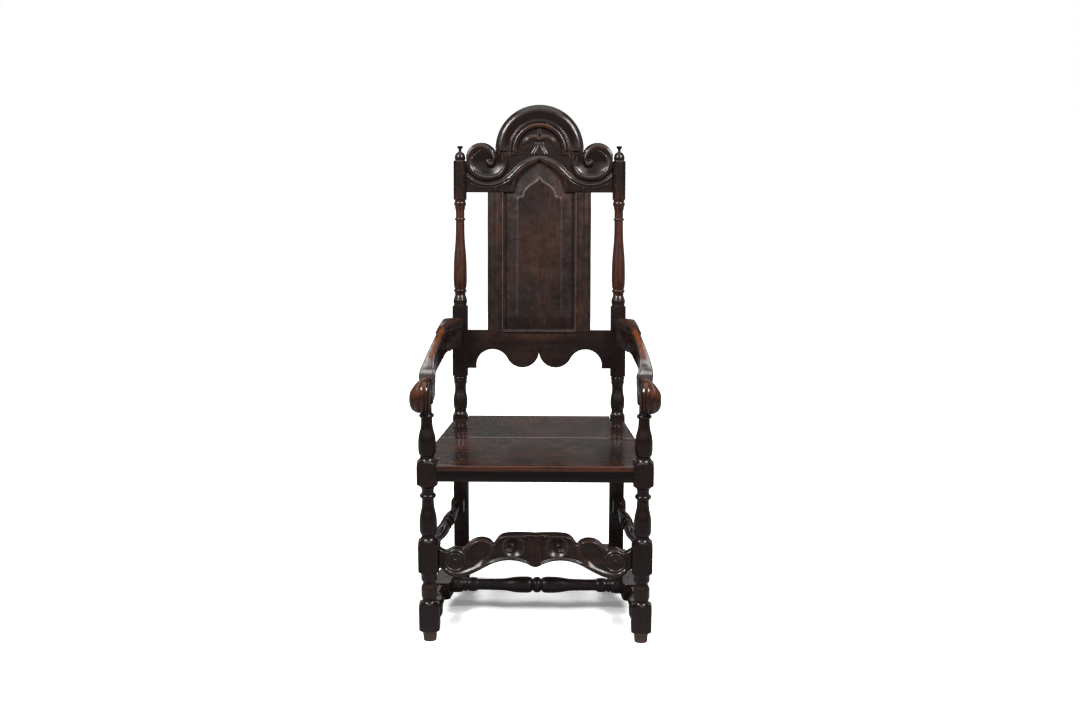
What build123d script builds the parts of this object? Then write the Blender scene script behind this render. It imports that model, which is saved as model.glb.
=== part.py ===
"""Wainscot armchair in oak: turned posts, a panelled back under a carved crest, a boarded seat.

Millimetres, +Z up, +Y to the back, +X to the right of someone who faces the chair.
The origin lies on the floor under the middle of the chair's overall box.
"""

import os
from math import cos, hypot, radians, sin, tan

from build123d import *

# ---------------------------------------------------------------- driving sizes

# plan of the frame, measured between the axes of the posts
front_spacing = 502.0
rear_spacing = 407.0
frame_depth = 415.0

# stock
post_side = 47.0            # front posts
leg_side = 38.0             # rear posts
finial_block_side = 32.5    # the thinner, chamfered top of a rear post
board_reveal = 4.0          # how far rails lie behind the face of a post

# rear posts lean back above the seat
rake = 7.0
bend_height = 430.0

# seat
seat_height = 440.0
seat_thickness = 14.0
seat_overhang = 35.0        # front edge, ahead of the front posts' axes
seat_back_overhang = 4.0    # rear edge, behind the rear posts
seat_side_inset = 6.5       # side edges, inside the posts' outer faces
seat_seam = 212.0           # joint of the two boards, behind the front posts' axes
seam_gap = 0.5
nosing_radius = 3.0
rail_height = 29.0
rail_thickness = 26.0

# stretchers
low_axis = 69.0             # height of the H stretcher's axis
low_stock = 43.0
high_axis = 217.0           # height of the upper side stretchers' axis
high_stock = 32.0
carved_foot = 181.0         # lower edge of the carved front stretcher at its ends
carved_end = 53.0
carved_crown = 267.5        # its highest edge
carved_thickness = 26.0
carved_notch = 98.0         # notches beside the crown, from the middle
eye_x = 51.5                # round hollows under the crown
eye_rise = 57.0
eye_radius = 22.0
eye_depth = 4.0
carved_set_back = 4.0       # its middle, ahead of the posts' axes
rear_stretcher_axis = 76.0
rear_stretcher_height = 34.0
rear_stretcher_thickness = 22.0

# arms
arm_seat = 577.0            # underside of an arm where the front post carries it
arm_root_above = 22.0       # top and underside at the rear post, from the arm's tenon
arm_root_below = 49.5
arm_middle_above = 55.0     # top of its middle, above the scroll's centre
arm_dip_above = 36.5        # lowest place of its top, behind the scroll
arm_width = 22.0
scroll_radius = 40.0
scroll_reach = 12.0         # the scroll's centre, ahead of the front post's axis
scroll_rise = 25.0          # and above the arm's seat
scroll_inner = 16.0         # hand hold, from the front post's axis inwards
scroll_rim = 13.0           # outwards to where its end begins to dome
scroll_outer = 37.5         # and to the top of the dome
scroll_step = 1.5           # how far the scroll stands above the arm behind it

# back, measured up the leaning posts from their bend
finial_block_below = 20.5   # foot of a rear post's chamfered block, below the crest rail
finial_block_height = 101.5
block_chamfer = 3.0         # at both ends of that block
finial_height = 37.0
finial_radius = 14.0
button_radius = 7.4         # flared button on top of the finial
back_block_below = 20.0     # the square block of a rear post, below and above the lower rail
back_block_above = 62.5
lower_rail_foot = 140.0
lower_rail_height = 98.0
lower_rail_thickness = 26.0
rail_arc_radius = 42.0      # hollow arcs of its lower edge
rail_arc_x = 120.0
rail_arc_rise = 49.0        # their tops, above the rail's ends
rail_lobe_x = 42.5          # lowest points of the two lobes between them
rail_lobe_rise = 2.0
crest_foot = 591.5
crest_rail_height = 94.5    # up to its seam with the arch
crest_thickness = 30.0
arch_spring_rise = 14.5     # above the seam
arch_radius = 113.0
arch_thickness = 26.0
ridge_outer = 74.0          # moulded ridge round the arch's sunk field
ridge_inner = 60.0
ridge_height = 3.0
field_depth = 6.0
volute_radius = 40.3
volute_spacing = 296.0
volute_rise = 86.0          # their centres, above the crest rail's foot
boss_radius = 10.0
boss_height = 2.5
boss_inward = 19.5          # its centre, from the volute's
boss_drop = 8.5
crest_opening = 130.0       # pointed arch that is cut into the crest's lower edge
crest_opening_rise = 82.5
stile_width = 41.5
stile_thickness = 27.0
panel_width = 182.0         # sight size between the stiles
panel_tongue = 6.0          # depth of the panel's edge in its grooves
panel_edge = 6.0            # thickness of that edge
panel_raise = 5.0
panel_margin = 33.0
panel_shoulder = 38.0       # where the raised field begins to arch, below the crest rail

# joints
tenon_thickness = 9.0
tenon_inset = 3.0           # a tenon's edges, inside its rail's edges
tenon_length = 20.0
short_tenon = 14.0
crest_tenon_height = 60.0
arm_tenon_height = 26.0
mortise_gap = 1.0           # empty end of a mortise
joint_fit = 0.15            # play on each side of a tenon
notch_fit = 1.0             # play of the seat boards round the posts
round_tenon = 18.0
round_tenon_length = 26.0
medial_tenon = 28.0
dowel_diameter = 10.0
dowel_length = 44.0
peg_diameter = 7.0
peg_proud = 0.8
peg_length = 30.0

# turned elements, as radii
foot_radius = 15.7
ring_radius = 18.8
neck_radius = 14.3
belly_radius = 20.9
cap_radius = 12.3           # under the arms

# ---------------------------------------------------------------- worked-out places

lean = radians(rake)
lower_rail_top = lower_rail_foot + lower_rail_height
back_block_foot = lower_rail_foot - back_block_below
back_block_top = lower_rail_top + back_block_above
crest_seam = crest_foot + crest_rail_height
arch_spring = crest_seam + arch_spring_rise
volute_height = crest_foot + volute_rise
finial_block_foot = crest_foot - finial_block_below
finial_block_top = finial_block_foot + finial_block_height
back_reach = frame_depth + (arch_spring + arch_radius) * sin(lean) + arch_thickness / 2 * cos(lean)
nose_reach = scroll_radius + scroll_reach
front_y = (nose_reach - back_reach) / 2
rear_y = front_y + frame_depth
half_front = front_spacing / 2
half_rear = rear_spacing / 2
spread = half_front - half_rear
side_length = hypot(frame_depth, spread)

seat_underside = seat_height - seat_thickness
rail_axis = seat_underside - rail_height / 2
front_rail_y = front_y - post_side / 2 + board_reveal + rail_thickness / 2
rear_rail_y = rear_y + leg_side / 2 - board_reveal - rail_thickness / 2
rear_stretcher_y = rear_y + leg_side / 2 - board_reveal - rear_stretcher_thickness / 2
carved_y = front_y - carved_set_back
carved_axis = carved_foot + carved_end / 2
medial_y = front_y + 0.45 * frame_depth

lower_rail_axis = (lower_rail_foot + lower_rail_top) / 2
crest_tenon_axis = crest_foot + tenon_inset + crest_tenon_height / 2
arm_tenon_axis = lower_rail_top + arm_tenon_height / 2 + 1
crest_half = half_rear - finial_block_side / 2
rail_half = half_rear - leg_side / 2
inner_face = half_front - post_side / 2
scroll_height = arm_seat + scroll_rise
opening_half = crest_opening / 2
opening_apex = crest_foot + crest_opening_rise
dowel_x = 0.68 * arch_radius
volute_x = volute_spacing / 2
volute_centres = [(volute_x, volute_height), (-volute_x, volute_height)]
stile_x = (panel_width + stile_width) / 2
stile_tenon = stile_width - 12
lower_rail_tenon = lower_rail_top - lower_rail_foot - 20
turn_back = {"line": "line", "ogee": "ogee", "flare": "dome", "dome": "flare"}

up_back = Vector(0, sin(lean), cos(lean))
back_plane = Plane(origin=(0, rear_y, bend_height), x_dir=(1, 0, 0), z_dir=(0, -cos(lean), sin(lean)))
SIDES = {"left": -1, "right": 1}


def on_back(x, rise, forward=0.0):
    """A point of the leaning back: across, up the posts from their bend, and towards the front."""
    return back_plane.from_local_coords(Vector(x, rise, forward))


def axis_x(y):
    """How far the line between the axes of a front and a rear post is from the middle."""
    return half_front - spread * (y - front_y) / frame_depth


# ---------------------------------------------------------------- section planes

def across(x, y, z, direction):
    """The cross-section of a level member at a point of its axis, looking along it."""
    run = Vector(direction).normalized()
    return Plane(origin=(x, y, z), x_dir=(-run.Y, run.X, 0), z_dir=(run.X, run.Y, 0))


def across_side(side, y, z):
    """The cross-section of a side member at the given depth."""
    return across(side * axis_x(y), y, z, (-side * spread, frame_depth, 0))


def across_back(x, rise, side):
    """The cross-section of a member of the back, looking out to the given side."""
    return Plane(origin=tuple(on_back(x, rise)), x_dir=(0, -cos(lean), sin(lean)), z_dir=(side, 0, 0))


def arm_shoulder(side):
    """Where an arm's tenon enters the front face of the rear post."""
    origin = on_back(side * half_rear, arm_tenon_axis, leg_side / 2)
    return Plane(origin=tuple(origin), x_dir=(1, 0, 0), z_dir=tuple(-back_plane.z_dir))


def up_the_back(x, rise):
    """The cross-section of an upright of the back, looking up the rake."""
    return Plane(origin=tuple(on_back(x, rise)), x_dir=(1, 0, 0), z_dir=tuple(up_back))


# ---------------------------------------------------------------- shared shapes

def bar(section, width, height, length, mode=Mode.ADD):
    """A square-cut bar that runs from its section plane along the plane's normal."""
    with BuildSketch(section) as end:
        Rectangle(width, height)
    extrude(to_extrude=end.sketch, amount=length, mode=mode)


def rod(section, radius, length, mode=Mode.ADD):
    """A round bar that runs from its section plane along the plane's normal."""
    with BuildSketch(section) as end:
        Circle(radius)
    extrude(to_extrude=end.sketch, amount=length, mode=mode)


def mortise(section, height, length):
    """The pocket for a tenon of that height and length that enters at the section plane."""
    width = tenon_thickness + 2 * joint_fit
    bar(section, width, height + 2 * joint_fit, length + mortise_gap, mode=Mode.SUBTRACT)


def turning(plane, across_by, stations):
    """A turned length whose axis runs up the plane, at that distance across it.

    Stations are (distance along the axis, radius, shape). The shape is how the outline comes
    from the station before: a line, an ogee that runs along the axis at both ends, a dome that
    ends square to the axis, or a flare that leaves square to the axis.
    """
    rounding = 0.55
    first, last = stations[0], stations[-1]
    with BuildSketch(plane) as half:
        with BuildLine():
            Line((across_by, last[0]), (across_by, first[0]))
            Line((across_by, first[0]), (across_by + first[1], first[0]))
            for (y0, r0, _), (y1, r1, shape) in zip(stations, stations[1:]):
                start, end = (across_by + r0, y0), (across_by + r1, y1)
                rise, run = rounding * (y1 - y0), rounding * (r1 - r0)
                leave = (start[0] + run, y0) if shape == "flare" else (start[0], y0 + rise)
                arrive = (end[0] - run, y1) if shape == "dome" else (end[0], y1 - rise)
                if shape == "line":
                    Line(start, end)
                else:
                    Bezier(start, leave, arrive, end)
            Line((across_by + last[1], last[0]), (across_by, last[0]))
        make_face()
    foot = plane.from_local_coords(Vector(across_by, 0, 0))
    revolve(half.sketch, axis=Axis(tuple(foot), tuple(plane.y_dir)))


def turned_round(stations, length):
    """The same stations in the opposite order, for the far half of a length."""
    shapes = ["line"] + [turn_back[shape] for _, _, shape in reversed(stations[1:])]
    return [(length - y, r, shape) for (y, r, _), shape in zip(reversed(stations), shapes)]


def bead(middle, thickness, radius, rest):
    """Stations of a bead that stands on a thinner round."""
    return [
        (middle - thickness / 2, rest, "line"),
        (middle, radius, "flare"),
        (middle + thickness / 2, rest, "dome"),
    ]


def block(foot, top, side, drop, rise, below, above):
    """Stations of a block left square, whose corners are turned down to the rounds next to it."""
    corner = side / 2 * 2 ** 0.5
    return [
        (foot - drop, below, "line"),
        (foot + 8, corner, "ogee"),
        (top - 8, corner, "line"),
        (top + rise, above, "ogee"),
    ]


def save(piece, label):
    """Names a piece and writes its file."""
    piece.part.label = label
    export_step(piece.part, f"parts/{label}.step")


# ---------------------------------------------------------------- pegs

def peg(point, direction, length=peg_length):
    """One peg: where it enters the face of the wood, and the way it is driven."""
    inward = Vector(direction).normalized()
    return (Vector(*point) - inward * peg_proud, inward, length + peg_proud)


def drive(pegs):
    """The pegs themselves, as separate solids."""
    for start, inward, length in pegs:
        rod(Plane(origin=tuple(start), z_dir=tuple(inward)), peg_diameter / 2, length)


def drill(*groups):
    """The holes for whole groups of pegs."""
    for start, inward, length in sum(groups, []):
        section = Plane(origin=tuple(start), z_dir=tuple(inward))
        rod(section, peg_diameter / 2, length, mode=Mode.SUBTRACT)


front_pegs, side_pegs, rear_pegs, back_pegs, arm_pegs, medial_pegs, board_pegs = ([] for _ in range(7))
for side in SIDES.values():
    x = side * (half_front - post_side / 2 + tenon_length / 2)
    for height in (rail_axis, carved_axis):
        front_pegs.append(peg((x, front_y - post_side / 2, height), (0, 1, 0)))

    front_x = side * (half_front + post_side / 2)
    rear_x = side * (half_rear + leg_side / 2)
    for height in (rail_axis, high_axis, low_axis):
        y = front_y + post_side / 2 - tenon_length / 2
        side_pegs.append(peg((front_x, y, height), (-side, 0, 0)))
        y = rear_y - leg_side / 2 + short_tenon / 2
        side_pegs.append(peg((rear_x, y, height), (-side, 0, 0)))

    x = side * (rail_half + short_tenon / 2)
    for height in (rail_axis, rear_stretcher_axis):
        rear_pegs.append(peg((x, rear_y + leg_side / 2, height), (0, -1, 0), 0.6 * leg_side))
    for rise in (lower_rail_foot + 20, lower_rail_foot + 48):
        back_pegs.append(peg(on_back(x, rise, leg_side / 2), -back_plane.z_dir))
    x = side * (crest_half + short_tenon / 2)
    for rise in (crest_tenon_axis - crest_tenon_height / 4, crest_tenon_axis + crest_tenon_height / 4):
        start = on_back(x, rise, finial_block_side / 2)
        back_pegs.append(peg(start, -back_plane.z_dir, 0.8 * finial_block_side))
    start = on_back(side * stile_x, lower_rail_top - tenon_length / 2, lower_rail_thickness / 2)
    back_pegs.append(peg(start, -back_plane.z_dir, 0.8 * lower_rail_thickness))
    start = on_back(side * stile_x, crest_foot + tenon_length / 2, crest_thickness / 2)
    back_pegs.append(peg(start, -back_plane.z_dir, 0.8 * crest_thickness))

    start = on_back(rear_x, arm_tenon_axis, (leg_side - short_tenon) / 2)
    arm_pegs.append(peg(start, (-side, 0, 0)))
    start = (side * (half_front + scroll_outer), front_y, arm_seat + 0.6 * round_tenon_length)
    arm_pegs.append(peg(start, (-side, 0, 0), scroll_outer + 0.8 * scroll_inner))

    start = (side * axis_x(medial_y) * 0.985, medial_y, low_axis + low_stock / 2)
    medial_pegs.append(peg(start, (0, 0, -1)))
    board_pegs.append(peg((side * (half_front - post_side), front_rail_y, seat_height), (0, 0, -1)))
    board_pegs.append(peg((side * (half_rear - leg_side), rear_rail_y, seat_height), (0, 0, -1)))
    for share in (0.25, 0.75):
        y = front_y + share * frame_depth
        board_pegs.append(peg((side * axis_x(y), y, seat_height), (0, 0, -1)))

# ---------------------------------------------------------------- front posts

low_block = (low_axis - low_stock / 2 - 19, low_axis + low_stock / 2)
middle_block = (carved_foot - 7, carved_foot + carved_end + 9)
seat_block = (rail_axis - rail_height / 2 - 7, seat_height - 4)


def front_post(side):
    """A front post, turned from square stock, from its foot to the tenon that holds the arm."""
    x = side * half_front
    lower_ring = seat_block[0] - 32
    cap_ring = arm_seat - 26
    stations = [
        (0, foot_radius - 0.7, "line"),
        (8, foot_radius, "flare"),
        *block(*low_block, post_side, 14, 14, foot_radius + 0.8, neck_radius + 1.7),
        (low_block[1] + 27, ring_radius, "flare"),
        (low_block[1] + 38, ring_radius, "line"),
        (low_block[1] + 57, neck_radius, "ogee"),
        (middle_block[0] - 19, ring_radius, "flare"),
        (middle_block[0] - 14, ring_radius, "line"),
        *block(*middle_block, post_side, 12, 20, ring_radius, neck_radius + 1.5),
        (middle_block[1] + 35, belly_radius, "flare"),
        (middle_block[1] + 44, belly_radius, "line"),
        (lower_ring - 8, neck_radius - 0.2, "ogee"),
        *bead(lower_ring, 11, ring_radius + 0.5, neck_radius),
        *block(*seat_block, post_side, 19, 20, neck_radius, neck_radius + 1.9),
        (seat_block[1] + 35, belly_radius, "flare"),
        (seat_block[1] + 45, belly_radius, "line"),
        (cap_ring - 9, cap_radius + 0.9, "ogee"),
        *bead(cap_ring, 9, ring_radius - 1.2, cap_radius + 0.9),
        (cap_ring + 8, cap_radius, "line"),
        (arm_seat, cap_radius, "line"),
        (arm_seat, round_tenon / 2, "line"),
        (arm_seat + round_tenon_length, round_tenon / 2, "line"),
    ]
    upright = Plane(origin=(x, front_y, 0), x_dir=(1, 0, 0), z_dir=(0, -1, 0))
    with BuildPart() as post:
        turning(upright, 0, stations)
        foot = Plane(origin=(x, front_y, 0))
        bar(foot, post_side, post_side, arm_seat + round_tenon_length, mode=Mode.INTERSECT)
        inner = x - side * post_side / 2
        rail_end = across(inner, front_rail_y, rail_axis, (side, 0, 0))
        mortise(rail_end, rail_height - 2 * tenon_inset, tenon_length)
        carved_shoulder = across(inner, carved_y, carved_axis, (side, 0, 0))
        mortise(carved_shoulder, carved_end - 2 * tenon_inset, tenon_length)
        for height, stock in ((rail_axis, rail_height), (high_axis, high_stock), (low_axis, low_stock)):
            end = across_side(side, front_y + post_side / 2 - tenon_length - mortise_gap, height)
            mortise(end, stock - 2 * tenon_inset, 2 * tenon_length)
        drill(front_pegs, side_pegs, arm_pegs)
    return post


# ---------------------------------------------------------------- rear posts

def rear_post(side):
    """A rear post: a plain square leg, then a leaning, turned upper part with a finial."""
    x = side * half_rear
    flat = leg_side / 2
    collar = flat - 1.2
    slim = neck_radius - 3.2
    stations = [
        (0, flat * 2 ** 0.5, "line"),
        (7, flat * 2 ** 0.5, "line"),
        (28, neck_radius + 1.2, "ogee"),
        (34, neck_radius + 1.2, "line"),
        (51, collar + 0.5, "flare"),
        (90, neck_radius, "ogee"),
        (106, collar - 1, "ogee"),
        *bead(back_block_foot - 6, 6, collar + 0.2, collar - 1.4),
        (back_block_foot, collar - 1.4, "line"),
        (back_block_foot, flat * 2 ** 0.5, "line"),
        (back_block_top, flat * 2 ** 0.5, "line"),
        (back_block_top, collar - 1, "line"),
        *bead(back_block_top + 12, 12, collar - 0.1, collar - 1.4),
        (back_block_top + 29, neck_radius - 0.8, "ogee"),
        *bead(back_block_top + 39, 7, collar - 1, neck_radius),
        (back_block_top + 46, neck_radius + 0.5, "line"),
        (back_block_top + 72, collar - 0.6, "flare"),
        (finial_block_foot - 55, slim, "ogee"),
        *bead(finial_block_foot - 48, 6, neck_radius - 0.3, slim),
        (finial_block_foot - 29, slim, "line"),
        (finial_block_foot - 17, neck_radius - 1.2, "ogee"),
        *bead(finial_block_foot - 9, 12, neck_radius + 1.1, neck_radius - 1.2),
        (finial_block_foot + 1, neck_radius, "line"),
    ]
    button = finial_block_top + finial_height
    finial = [
        (finial_block_top - 2, finial_radius - 2, "line"),
        (finial_block_top + 1.5, finial_radius - 2, "line"),
        (finial_block_top + 4.5, finial_radius, "flare"),
        (button - 16, 5, "dome"),
        (button - 13, button_radius / 2, "line"),
        (button - 10, button_radius / 2, "line"),
        (button - 3.5, button_radius, "ogee"),
        (button - 1.5, button_radius, "line"),
        (button, button_radius / 2, "dome"),
    ]
    lift = flat * tan(lean / 2)
    with BuildPart() as post:
        turning(back_plane, x, stations)
        leaning = Plane(origin=tuple(on_back(x, 0)), x_dir=(1, 0, 0), z_dir=tuple(up_back))
        bar(leaning, leg_side, leg_side, finial_block_foot + 1, mode=Mode.INTERSECT)
        with BuildSketch(Plane(origin=(x, rear_y, 0), x_dir=(0, 1, 0), z_dir=(1, 0, 0))) as leg:
            with BuildLine():
                Polyline(
                    (-flat, 0),
                    (flat, 0),
                    (flat, bend_height - lift),
                    (0, bend_height),
                    (-flat * cos(lean), bend_height + flat * sin(lean)),
                    (-flat, bend_height + lift),
                    close=True,
                )
            make_face()
        extrude(to_extrude=leg.sketch, amount=flat, both=True)
        with BuildPart(mode=Mode.PRIVATE) as top_block:
            with BuildSketch(leaning.offset(finial_block_foot)) as eight_sided:
                Rectangle(finial_block_side, finial_block_side)
                chamfer(eight_sided.vertices(), finial_block_side * 0.22)
            extrude(to_extrude=eight_sided.sketch, amount=finial_block_height)
            ends = top_block.faces().sort_by(Axis((x, 0, 0), tuple(up_back)))
            chamfer(ends[0].edges() + ends[-1].edges(), block_chamfer)
        add(top_block.part)
        turning(back_plane, x, finial)

        rail_end = across(side * rail_half, rear_rail_y, rail_axis, (side, 0, 0))
        mortise(rail_end, rail_height - 2 * tenon_inset, short_tenon)
        rail_end = across(side * rail_half, rear_stretcher_y, rear_stretcher_axis, (side, 0, 0))
        mortise(rail_end, rear_stretcher_height - 2 * tenon_inset, short_tenon)
        for height, stock in ((rail_axis, rail_height), (high_axis, high_stock), (low_axis, low_stock)):
            end = across_side(side, rear_y - flat - short_tenon, height)
            mortise(end, stock - 2 * tenon_inset, 2 * short_tenon)
        rail_end = across_back(side * rail_half, lower_rail_axis, side)
        mortise(rail_end, lower_rail_tenon, short_tenon)
        rail_end = across_back(side * crest_half, crest_tenon_axis, side)
        mortise(rail_end, crest_tenon_height, short_tenon)
        mortise(arm_shoulder(side), arm_tenon_height, short_tenon)
        drill(side_pegs, rear_pegs, back_pegs, arm_pegs)
    return post


# ---------------------------------------------------------------- seat frame and boards

def level_rail(half_span, y, z, thickness, height, tenon, pegs):
    """A straight rail between two posts, with a tenon at each end."""
    with BuildPart() as rail:
        bar(across(-half_span, y, z, (1, 0, 0)), thickness, height, 2 * half_span)
        tip = half_span + tenon
        bar(across(-tip, y, z, (1, 0, 0)), tenon_thickness, height - 2 * tenon_inset, 2 * tip)
        drill(pegs)
    return rail


def between_posts(side, z, height):
    """Trims a side member to the room between the faces of its two posts."""
    depth = frame_depth - (post_side + leg_side) / 2
    middle = front_y + post_side / 2 + depth / 2
    room = Plane(origin=(side * (half_front + half_rear) / 2, middle, z - height))
    bar(room, 4 * post_side, depth, 2 * height, mode=Mode.INTERSECT)


def side_tenons(side, z, height):
    """The two tenons of a side member, along its own run."""
    first = front_y + post_side / 2 - tenon_length
    last = rear_y - leg_side / 2 + short_tenon
    length = (last - first) * side_length / frame_depth
    bar(across_side(side, first, z), tenon_thickness, height - 2 * tenon_inset, length)


def side_rail(side):
    """A side seat rail, which runs in with the taper of the seat."""
    with BuildPart() as rail:
        bar(across_side(side, front_y, rail_axis), rail_thickness, rail_height, side_length)
        between_posts(side, rail_axis, rail_height)
        side_tenons(side, rail_axis, rail_height)
        drill(side_pegs, board_pegs)
    return rail


def seat_board(near, far):
    """One seat board between two depths behind the front posts' axes, notched round the posts."""
    outer = post_side / 2 - seat_side_inset
    front_notch = front_y + post_side / 2 + notch_fit
    rear_notch = rear_y - leg_side / 2 - notch_fit
    front_inner = half_front - post_side / 2 - notch_fit
    rear_inner = rail_half - notch_fit
    taper = (spread + (post_side - leg_side) / 2) / frame_depth
    right = [
        (front_inner, front_y - seat_overhang),
        (front_inner, front_notch),
        (half_front + outer - taper * (front_notch - front_y), front_notch),
        (half_front + outer - taper * (rear_notch - front_y), rear_notch),
        (rear_inner, rear_notch),
        (rear_inner, rear_y + leg_side / 2 + seat_back_overhang),
    ]
    with BuildPart() as board:
        with BuildSketch(Plane.XY.offset(seat_underside)) as plan:
            with BuildLine():
                Polyline(*right, *[(-x, y) for x, y in reversed(right)], close=True)
            make_face()
            with Locations((0, front_y + (near + far) / 2)):
                Rectangle(2 * front_spacing, far - near, mode=Mode.INTERSECT)
        extrude(to_extrude=plan.sketch, amount=seat_thickness)
        if near < 0:
            fillet(board.edges().filter_by(Axis.X).group_by(Axis.Y)[0], nosing_radius)
        drill(board_pegs)
    return board


# ---------------------------------------------------------------- turned and carved stretchers

def side_turning(side, z, stock, stations, holds_medial=False):
    """A side stretcher: turned along its run, left square at its blocks, tenoned into the posts."""
    run = Vector(-side * spread, frame_depth, 0).normalized()
    plane = Plane(origin=(side * half_front, front_y, z), x_dir=(0, 0, 1), z_dir=(-run.Y, run.X, 0))
    with BuildPart() as stretcher:
        turning(plane, 0, stations)
        bar(across_side(side, front_y, z), stock, stock, side_length, mode=Mode.INTERSECT)
        between_posts(side, z, stock)
        side_tenons(side, z, stock)
        if holds_medial:
            hole = across(side * (axis_x(medial_y) - stock / 2 - 6), medial_y, z, (side, 0, 0))
            depth = medial_tenon + 6 + mortise_gap
            rod(hole, round_tenon / 2 + joint_fit, depth, mode=Mode.SUBTRACT)
            drill(medial_pegs)
        drill(side_pegs)
    return stretcher


def high_side_stretcher(side):
    """An upper side stretcher: two vases that swell towards the middle of the run."""
    corner = high_stock / 2 * 2 ** 0.5
    middle = side_length / 2
    near = post_side / 2 + 32
    half = [
        (0, corner, "line"),
        (near, corner, "line"),
        (near + 12, 11, "ogee"),
        *bead(near + 18, 6, 14, 11),
        (near + 26, 10, "line"),
        (middle - 30, 15.6, "ogee"),
        (middle - 18, 10.5, "ogee"),
    ]
    stations = half + bead(middle, 12, 15.2, 11) + turned_round(half, side_length)
    return side_turning(side, high_axis, high_stock, stations)


def low_side_stretcher(side):
    """A lower side stretcher, with a square block that holds the medial stretcher."""
    centre = 0.45 * side_length
    end = post_side / 2 + 22
    stations = [
        (0, low_stock, "line"),
        (end, low_stock / 2 * 2 ** 0.5, "line"),
        (end + 14, neck_radius, "ogee"),
        (end + 32, ring_radius, "flare"),
        (centre - 66, neck_radius, "ogee"),
        *bead(centre - 60, 8, ring_radius - 1, neck_radius),
        (centre - 55, neck_radius, "line"),
        (centre - 40, low_stock / 2 * 2 ** 0.5, "flare"),
        (centre + 40, low_stock / 2 * 2 ** 0.5, "line"),
        (centre + 55, neck_radius, "dome"),
        *bead(centre + 60, 8, ring_radius - 1, neck_radius),
        (centre + 88, ring_radius, "flare"),
        (side_length - end - 22, neck_radius - 1, "ogee"),
        *bead(side_length - end - 17, 8, ring_radius - 1, neck_radius - 1),
        (side_length - end - 8, neck_radius, "line"),
        (side_length - end + 2, low_stock / 2 * 2 ** 0.5, "flare"),
        (side_length, low_stock / 2 * 2 ** 0.5, "line"),
    ]
    return side_turning(side, low_axis, low_stock, stations, holds_medial=True)


with BuildPart() as medial_stretcher:
    half_run = axis_x(medial_y) - low_stock / 2
    right_half = [
        (9.5, neck_radius + 0.4, "dome"),
        (11.5, neck_radius + 0.4, "line"),
        (25, belly_radius - 0.5, "flare"),
        (33, belly_radius - 0.5, "line"),
        (0.48 * half_run, neck_radius + 0.2, "ogee"),
        (half_run - 62, neck_radius - 0.4, "line"),
        *bead(half_run - 48, 24, ring_radius - 1.2, neck_radius + 0.6),
        (half_run - 34, neck_radius + 0.6, "line"),
        *bead(half_run - 30, 7, ring_radius - 1, neck_radius + 1),
        (half_run - 25, neck_radius + 1.5, "line"),
        (half_run - 8, belly_radius - 0.2, "flare"),
        (half_run + 6, belly_radius - 0.2, "line"),
    ]
    middle_bead = (0, ring_radius + 1, "flare")
    lathe = Plane(origin=(0, medial_y, low_axis), x_dir=(0, 0, 1), z_dir=(0, 1, 0))
    turning(lathe, 0, turned_round(right_half, 0) + [middle_bead] + right_half)
    block_half = low_stock / 2 * side_length / frame_depth
    near, far = medial_y - low_stock, medial_y + low_stock
    near_x, far_x = axis_x(near) - block_half, axis_x(far) - block_half
    with BuildSketch(Plane.XY) as room:
        with BuildLine():
            Polyline((-near_x, near), (near_x, near), (far_x, far), (-far_x, far), close=True)
        make_face()
    extrude(to_extrude=room.sketch, amount=2 * low_axis, mode=Mode.INTERSECT)
    reach = axis_x(medial_y) - low_stock / 2 + medial_tenon
    rod(across(-reach, medial_y, low_axis, (1, 0, 0)), round_tenon / 2, 2 * reach)
    drill(medial_pegs)

def outward(share):
    """A distance from the middle, as a share of the way from the carved stretcher's notch to a post."""
    return carved_notch + share * (inner_face - carved_notch)


with BuildPart() as carved_stretcher:
    upright = Plane(origin=(0, carved_y, carved_foot), x_dir=(1, 0, 0), z_dir=(0, -1, 0))
    crown = carved_crown - carved_foot
    notch = (carved_notch, crown - 26)
    valley = (outward(0.49), crown - 31)
    lower_turn = (outward(0.18), 2)
    with BuildSketch(upright) as face:
        with BuildLine():
            Spline(
                (0, crown - 1),
                (eye_x, crown),
                (1.5 * eye_x, crown - 3),
                (1.8 * eye_x, crown - 16),
                notch,
            )
            Spline(
                notch,
                (outward(0.07), crown - 17),
                (outward(0.22), crown - 12),
                (outward(0.37), crown - 18),
                valley,
            )
            Spline(
                valley,
                (outward(0.7), crown - 37),
                (outward(0.87), crown - 44),
                (inner_face, carved_end - 2),
            )
            Line((inner_face, carved_end - 2), (inner_face, 2))
            Spline(
                (inner_face, 2),
                (outward(0.84), -10),
                (outward(0.62), -21),
                (outward(0.4), -13),
                lower_turn,
            )
            Spline(
                lower_turn,
                (carved_notch - 7, 16),
                (eye_x + 10, 21),
                (eye_x - 15, 19),
                (eye_x / 3, 13),
                (0, 6),
            )
            Line((0, 6), (0, crown - 1))
        make_face()
        mirror(about=Plane.YZ)
    extrude(to_extrude=face.sketch, amount=carved_thickness / 2, both=True)
    with BuildSketch(upright.offset(carved_thickness / 2)) as eyes:
        with Locations((eye_x, eye_rise), (-eye_x, eye_rise)):
            Circle(eye_radius)
    extrude(to_extrude=eyes.sketch, amount=-eye_depth, mode=Mode.SUBTRACT)
    tip = inner_face + tenon_length
    end = across(-tip, carved_y, carved_axis, (1, 0, 0))
    bar(end, tenon_thickness, carved_end - 2 * tenon_inset, 2 * tip)
    drill(front_pegs)


# ---------------------------------------------------------------- arms

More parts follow.
